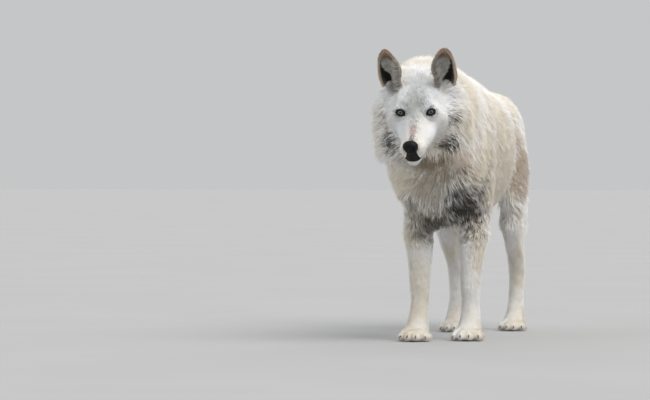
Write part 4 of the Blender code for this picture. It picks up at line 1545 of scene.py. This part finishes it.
@dataclass(frozen=True)
class Nose:
    """The black nose: broad above and pinched below, with two nostrils and a groove.

    Args:
        centre: its middle in the head's axes.
        radii: half its size to the side, ahead and up.
        power: how square it is, 2 for a ball.
        pinch: share of its width that is lost below.
        spread: share that is gained above.
        groove: how deep the groove is, and half its width.
        dents: the left nostril's hollows and the wing over it: place and size as shares of the
            radii, and how deep, less than 0 for a swelling.
    """

    centre: Triple = (-0.0010, 0.1190, -0.0470)
    radii: Triple = (0.0210, 0.0150, 0.0197)
    power: float = 2.25
    pinch: float = 0.34
    spread: float = 0.06
    groove: tuple[float, float] = (0.10, 0.055)
    dents: tuple[tuple[Triple, float, float], ...] = (
        ((0.46, 0.86, -0.10), 0.24, 0.42), ((0.70, 0.66, -0.24), 0.17, 0.26),
        ((0.90, 0.36, -0.36), 0.12, 0.14), ((0.62, 0.62, 0.22), 0.30, -0.09))

    def build(self) -> None:
        """Makes the piece."""
        piece = ball("nose_pad", (0, 0, 0), (1, 1, 1), None, 96, 64)
        spots = read(piece.data.vertices, "co", 3) * (1, -1, 1)
        spots /= (np.abs(spots) ** self.power).sum(1, keepdims=True) ** (1 / self.power)
        x, y, z = spots.T
        depth = sum(deep * bell(away(spots, np.array(place) * flip), size)
                    for flip in MIRROR for place, size, deep in self.dents)
        depth += self.groove[0] * bell(x, self.groove[1]) * ramp(0.1, 0.6, y) * ramp(0.35, 0.0, z)
        shrink = 1 - np.clip(depth, -0.2, 0.6)
        narrow = 1 - self.pinch * ramp(0.05, -0.95, z) + self.spread * ramp(-0.1, 0.5, z)
        local = np.stack((x * shrink * narrow, y * shrink, z * (0.5 + 0.5 * shrink)), axis=1)
        moved(piece, HEAD.placed(local * self.radii + self.centre))
        leather = PlainFinish("nose_leather", (3, 3, 4), (8, 7, 8), 160.0, 0.42, 0.00035, 1300.0, 0.08, 0.18)
        kept(outward(piece), leather.material(), "nose_leather", "nose")


@dataclass(frozen=True)
class Mouth:
    """The closed mouth: the black edge of the lips.

    Args:
        line: height of the mouth in the head's axes.
        dip: how much lower its front is.
        centre: where its round front is struck from.
        corner: how far ahead its corners lie.
        rise: how far it rises to the corners.
        under: how far ahead and up the groove ends under the nose.
        broad: half the width of the black skin over the lips.
        taper: how fast that narrows upwards.
        lip: half the width and half the thickness of the upper lip at its foot.
        groove: half the width of the groove's ridge.
    """

    line: float = -0.0860
    dip: float = 0.0045
    centre: float = 0.084
    corner: float = 0.018
    rise: float = 0.0100
    under: tuple[float, float] = (0.122, -0.060)
    broad: float = 0.0205
    taper: float = 0.32
    lip: tuple[float, float] = (0.0162, 0.0052)
    groove: float = 0.0011

    def black(self, local: np.ndarray, more: float = 0.0) -> np.ndarray:
        """How black the skin is between nose and mouth, 0 to 1, at places in the head's axes.

        Args:
            local: side, ahead and up, one a row.
            more: how much wider than the black itself.

        Returns:
            The share of black.
        """
        side, ahead, up = folded(local)
        half = self.broad + more - self.taper * np.clip(up - self.line, 0, 0.03)
        return (ramp(0.0012, -0.0012, side - half) * ramp(self.line - 0.0050, self.line - 0.0025, up)
                * ramp(-0.050, -0.058, up) * ramp(0.078, 0.086, ahead))

    def path(self, skin: BVHTree) -> tuple[np.ndarray, np.ndarray]:
        """The line of the lips over the skin, from one corner to the other.

        Args:
            skin: the skin to lie on.

        Returns:
            Places and the skin's normals there.
        """
        half = []
        for angle in np.radians(np.linspace(0, 90, 14)):
            sine, cosine = math.sin(angle), math.cos(angle)
            half.append((self.centre, sine, cosine, self.line - self.dip * cosine**3))
        for ahead in np.linspace(self.centre - 0.004, self.corner, 16):
            share = (self.centre - ahead) / (self.centre - self.corner)
            half.append((ahead, 1.0, 0.0, self.line + self.rise * share**2))
        other = [(ahead, -x, y, up) for ahead, x, y, up in half[:0:-1]]
        found = []
        for ahead, x, y, up in other + half:
            hit = skin.ray_cast(HEAD.point(x * 0.1, ahead + y * 0.1, up), HEAD.way(-x, -y, 0))
            if hit[0] is not None:
                found.append(hit[:2])
        return tuple(np.array(column) for column in zip(*found))

    def build(self, places: np.ndarray, normals: np.ndarray) -> None:
        """Makes the lips along their path, and the upper lip with its groove under the nose."""
        share = np.abs(np.linspace(-1, 1, len(places)))
        wide, thick = 0.0014 + 0.0020 * ramp(0.48, 0.10, share), 0.0026 * (1 - 0.75 * share)
        piece = tube("lips", places - normals * 0.0004, normals, wide, thick)
        steps = np.linspace(0, 1, 8)
        column, front = steps[:, None], places[len(places) // 2]
        path = (1 - column) * front + column * np.array(HEAD.point(0, *self.under))
        path = path - np.array(HEAD.way(0, 0.0022, 0))
        out = np.tile(np.array(HEAD.way(0, 1, 0)), (len(steps), 1))
        wide, thick = self.lip[0] - 0.0050 * steps, self.lip[1] - 0.0012 * steps
        upper = tube("upper_lip", path, out, wide, thick, around=24)
        velvet = PlainFinish("upper_lip_skin", (19, 14, 14), (32, 25, 24), 220.0, 0.55, 0.0003, 1500.0,
                             0.0, 0.25)
        kept(upper, velvet.material(), "nose_leather")
        path = path + np.array(HEAD.way(0, 0.0045, 0)) * (1 - 0.25 * column)
        radius = np.full(len(steps), self.groove)
        groove = tube("philtrum", path, out, radius, radius, around=12)
        lip = PlainFinish("lip_skin", (4, 4, 4), (9, 8, 8), 200.0, 0.60, 0.0002, 1500.0, 0.0, 0.12)
        kept(joined(piece, [groove]), lip.material(), "nose_leather")


@dataclass(frozen=True)
class Whiskers:
    """The whiskers of both lips, in one piece.

    Args:
        rows: how high each row is rooted.
        count: whiskers in a row.
        length: the longest.
        radius: its root's.
        foremost: how far ahead the first one is rooted.
    """

    rows: Triple = (-0.054, -0.062, -0.070)
    count: int = 5
    length: float = 0.062
    radius: float = 0.00034
    foremost: float = 0.098

    def whisker(self, skin: BVHTree, sign: int, row: int, number: int) -> Thing:
        """One whisker, rooted on the skin.

        Args:
            skin: the skin.
            sign: 1 on the left and -1 on the right.
            row: its row, from the top.
            number: its place in the row, from the front.

        Returns:
            The whisker.
        """
        ahead = self.foremost - 0.010 * number - 0.003 * row
        foot = skin.ray_cast(HEAD.point(sign * 0.1, ahead, self.rows[row]), HEAD.way(-sign, 0, 0))[0]
        way = HEAD.way(sign * 0.85, -0.30 - 0.12 * number, -0.25 + 0.12 * (1 - row)).normalized()
        length = self.length * (0.62 + 0.38 * number / self.count)
        steps, sag = np.linspace(0, 1, 9), Vector((0, 0.35, -1)) * (0.30 * length)
        path = np.array([foot + way * (length * t - 0.002) + sag * (t * t) for t in steps])
        radius, out = self.radius * (1 - 0.85 * steps), np.tile((0.0, -1.0, 0.2), (len(steps), 1))
        return tube("whisker", path, out, radius, radius, around=5)

    def build(self, skin: BVHTree) -> None:
        """Makes the piece."""
        parts = [self.whisker(skin, sign, row, number) for sign in (1, -1) for row in range(len(self.rows))
                 for number in range(self.count)]
        whiskers = joined(parts[0], parts[1:])
        whiskers.name = whiskers.data.name = "whiskers"
        hair = PlainFinish("whisker_hair", (150, 146, 140), (226, 222, 214), 40.0, 0.4, 0.00005, 3000.0)
        kept(whiskers, hair.material(), "coat")


@dataclass(frozen=True)
class Ear:
    """An ear: its shell of skin, the short hair of its rim and back, and the pale hair within.

    Args:
        side: which ear.
        sink: how far its foot is drawn in and down to the skull.
        slim: how wide the shell is beside its node, to leave room for its hair.
        foot: height of its foot over the eyes.
        tall: its height over its foot.
        crowd: short tufts and long ones on a square centimetre.
        most: the most of each.
        heights: heights over the eyes at which the ear's form is known.
        middles: how far to the side its middle lies there.
        halves: half its width there.
    """

    side: Side
    sink: tuple[float, float] = (0.010, 0.016)
    slim: float = 0.95
    foot: float = 0.045
    tall: float = 0.10
    crowd: tuple[float, float] = (46.0, 80.0)
    most: tuple[int, int] = (7500, 3500)
    heights: tuple[float, ...] = (0.034, 0.055, 0.074, 0.091, 0.106, 0.120, 0.132, 0.141, 0.147)
    middles: tuple[float, ...] = (0.0820, 0.0800, 0.0772, 0.0764, 0.0772, 0.0790, 0.0810, 0.0825, 0.0832)
    halves: tuple[float, ...] = (0.0262, 0.0308, 0.0336, 0.0343, 0.0320, 0.0266, 0.0196, 0.0125, 0.0050)

    def shell(self) -> tuple[Thing, np.ndarray, np.ndarray]:
        """The smoothed shell, its foot drawn into the head.

        Returns:
            The piece, and for each corner how far it lies from the inner edge, -1, to the outer one, 1,
            and from the foot, 0, to the tip, 1.
        """
        sign = self.side.value
        piece = smooth_copy(f"ear_{self.side.word}", f"ear_shell_{self.side.word}")
        local = HEAD.local(read(piece.data.vertices, "co", 3))
        up = local[:, 2].copy()
        off = sign * local[:, 0] - np.interp(up, self.heights, self.middles)
        sunk = ramp(0.062, 0.036, up)
        local[:, 0] -= (1 - self.slim) * sign * off
        local[:, 0] -= sign * self.sink[0] * sunk
        local[:, 2] -= self.sink[1] * sunk
        moved(piece, HEAD.placed(local))
        return piece, off / np.interp(up, self.heights, self.halves), (up - self.foot) / self.tall

    def build(self) -> None:
        """Makes the shell and its two coats."""
        word, sign, finish = self.side.word, self.side.value, EarFinish(self.side)
        shell, across, high = self.shell()
        kept(shell, finish.skin(), "coat", f"ear_{word}")
        surface = Surface.of(shell)
        normals, full = surface.normals(), np.ones(len(high))
        inner = ramp(0.15, 0.45, (normals @ np.array(HEAD.turn()) * (sign, -1, 1))[:, 1])
        line, wide = -0.72 + 2.05 * np.minimum(high, 0.56), 0.30 - 0.45 * np.abs(high - 0.26)
        # where the painted shade of the hollow is blackest
        hollow_shade = ramp(1.0, 0.55, np.abs(across - line) / wide) * ramp(0.66, 0.54, high) * inner
        medial = ramp(0.10, -0.15, across - line) * inner
        spot = np.stack((across, high, inner), axis=1)
        stored(shell, "spot", spot)
        stored(shell, "hollow_shade", np.repeat(hollow_shade[:, None], 3, axis=1))
        lie = HEAD.ways(np.stack((0.30 * across, 0.25 * inner, full), axis=1) * (sign, 1, 1))
        crowd = self.crowd[0] * (1 - 0.9 * hollow_shade) * (1 - 0.6 * medial * ramp(-0.95, -0.80, across))
        short = Growth(surface, normals, (0.0026 - 0.0010 * inner) * full, 0.0090 * full, 0.0013 * full,
                       crowd, 0.10 * full, lie)
        carry = {"spot": spot}
        coat = Tufts(f"ear_coat_{word}", short, short.where(8), EAR_SEED + sign, 0.12, 10,
                     self.most[0], carry)
        kept(coat.build(), finish.short(), "coat")
        way = HEAD.ways(np.tile((1.0 * sign, 0.30, 0.30), (len(high), 1)))
        run = (0.006 + 0.017 * medial) * (1.10 - 0.60 * high)
        within = Growth(surface, normals, 0.003 + 0.007 * medial, run, 0.0009 * full,
                        self.crowd[1] * medial * ramp(0.90, 0.70, high), 0.40 * full, way)
        hair = Tufts(f"ear_hair_{word}", within, within.where(10), EAR_HAIR_SEED + sign, 0.14, 9,
                     self.most[1], carry)
        kept(hair.build(), finish.within(), "coat")


class Claws:
    """The sixteen claws: each a smoothed copy of its node."""

    def build(self) -> None:
        """Makes the claws."""
        horn = PlainFinish("claw_horn", (58, 50, 44), (104, 92, 80), 120.0, 0.38, 0.0002, 700.0, 0.15)
        material = horn.material()
        for limb, rest in claw_names():
            node = f"{limb}claw_{rest}"
            kept(smooth_copy(node, f"{limb}_claw_{rest}"), material, "claw_horn", node)


# ---------------------------------------------------------------- the studio


@dataclass(frozen=True)
class Studio:
    """A pale floor, soft lights and the camera.

    Args:
        camera: the camera's place.
        heading: how far it is turned, in degrees.
        dip: how far it looks down, in degrees.
        lens: its focal length in millimetres.
        sensor: the width of its picture in millimetres.
        floor: the floor's side in metres.
        lights: where each soft light comes from, its spread in degrees, its strength and colour.
        sky: the colour of the light from all round.
    """

    camera: Triple = (2.1422, -9.9900, 0.5000)
    heading: float = 14.3
    dip: float = 0.57
    lens: float = 193.85
    sensor: float = 36.0
    floor: float = 120.0
    lights: tuple = (((0.63, -0.46, 0.95), 45.0, 2.10, (1.0, 0.985, 0.965)),
                     ((-0.90, -0.55, 0.40), 60.0, 0.48, (0.90, 0.95, 1.0)),
                     ((-0.10, 0.90, 0.80), 60.0, 0.60, (0.97, 0.98, 1.0)))
    sky: Triple = (0.56, 0.565, 0.57)

    def build(self) -> None:
        """Makes floor, lights, world and camera."""
        bpy.ops.object.select_all(action="DESELECT")
        bpy.ops.mesh.primitive_plane_add(size=self.floor, location=(0, 0, 0))
        floor = bpy.context.object
        floor.name = floor.data.name = "studio_floor"
        finish = PlainFinish("studio_floor", (178, 178, 178), (181, 181, 181), 1.5, 0.9, 0.0, 40.0, 0.0, 0.1)
        floor.data.materials.append(finish.material())
        scene = bpy.context.scene
        scene.world = scene.world or bpy.data.worlds.new("studio")
        scene.world.use_nodes = True
        sky = scene.world.node_tree.nodes["Background"].inputs
        sky["Color"].default_value, sky["Strength"].default_value = (*self.sky, 1.0), 1.0
        for number, (way, spread, strength, colour) in enumerate(self.lights):
            data = bpy.data.lights.new(f"soft_light_{number}", "SUN")
            data.angle, data.energy, data.color = math.radians(spread), strength, colour
            linked(data.name, data).rotation_euler = Vector(way).to_track_quat("Z", "Y").to_euler()
        data = bpy.data.cameras.new("camera")
        data.lens, data.sensor_width, data.clip_end = self.lens, self.sensor, 400.0
        scene.camera = linked("camera", data)
        scene.camera.location = self.camera
        scene.camera.rotation_euler = (math.radians(90 - self.dip), 0.0, math.radians(self.heading))
        scene.view_settings.view_transform = "Standard"


def main() -> None:
    """Builds the wolf piece by piece, then the studio."""
    logging.basicConfig(level=logging.INFO, format="%(message)s")
    Studio().build()
    skin, mouth = Skin(), Mouth()
    surface = skin.build()
    body = mesh_object("wolf_skin", surface.points, surface.triangles)
    stored(body, "lip", np.repeat(mouth.black(HEAD.local(surface.points)), 3))
    kept(body, CoatFinish().skin(), "coat", *FLESH)
    tree = surface.tree()
    places, normals = mouth.path(tree)
    mouth.build(places, normals)
    Nose().build()
    for side in Side:
        Eye(side).build()
        Ear(side).build()
    Whiskers().build(tree)
    Claws().build()
    Coat(skin, surface, places).build()


if __name__ == "__main__":
    main()
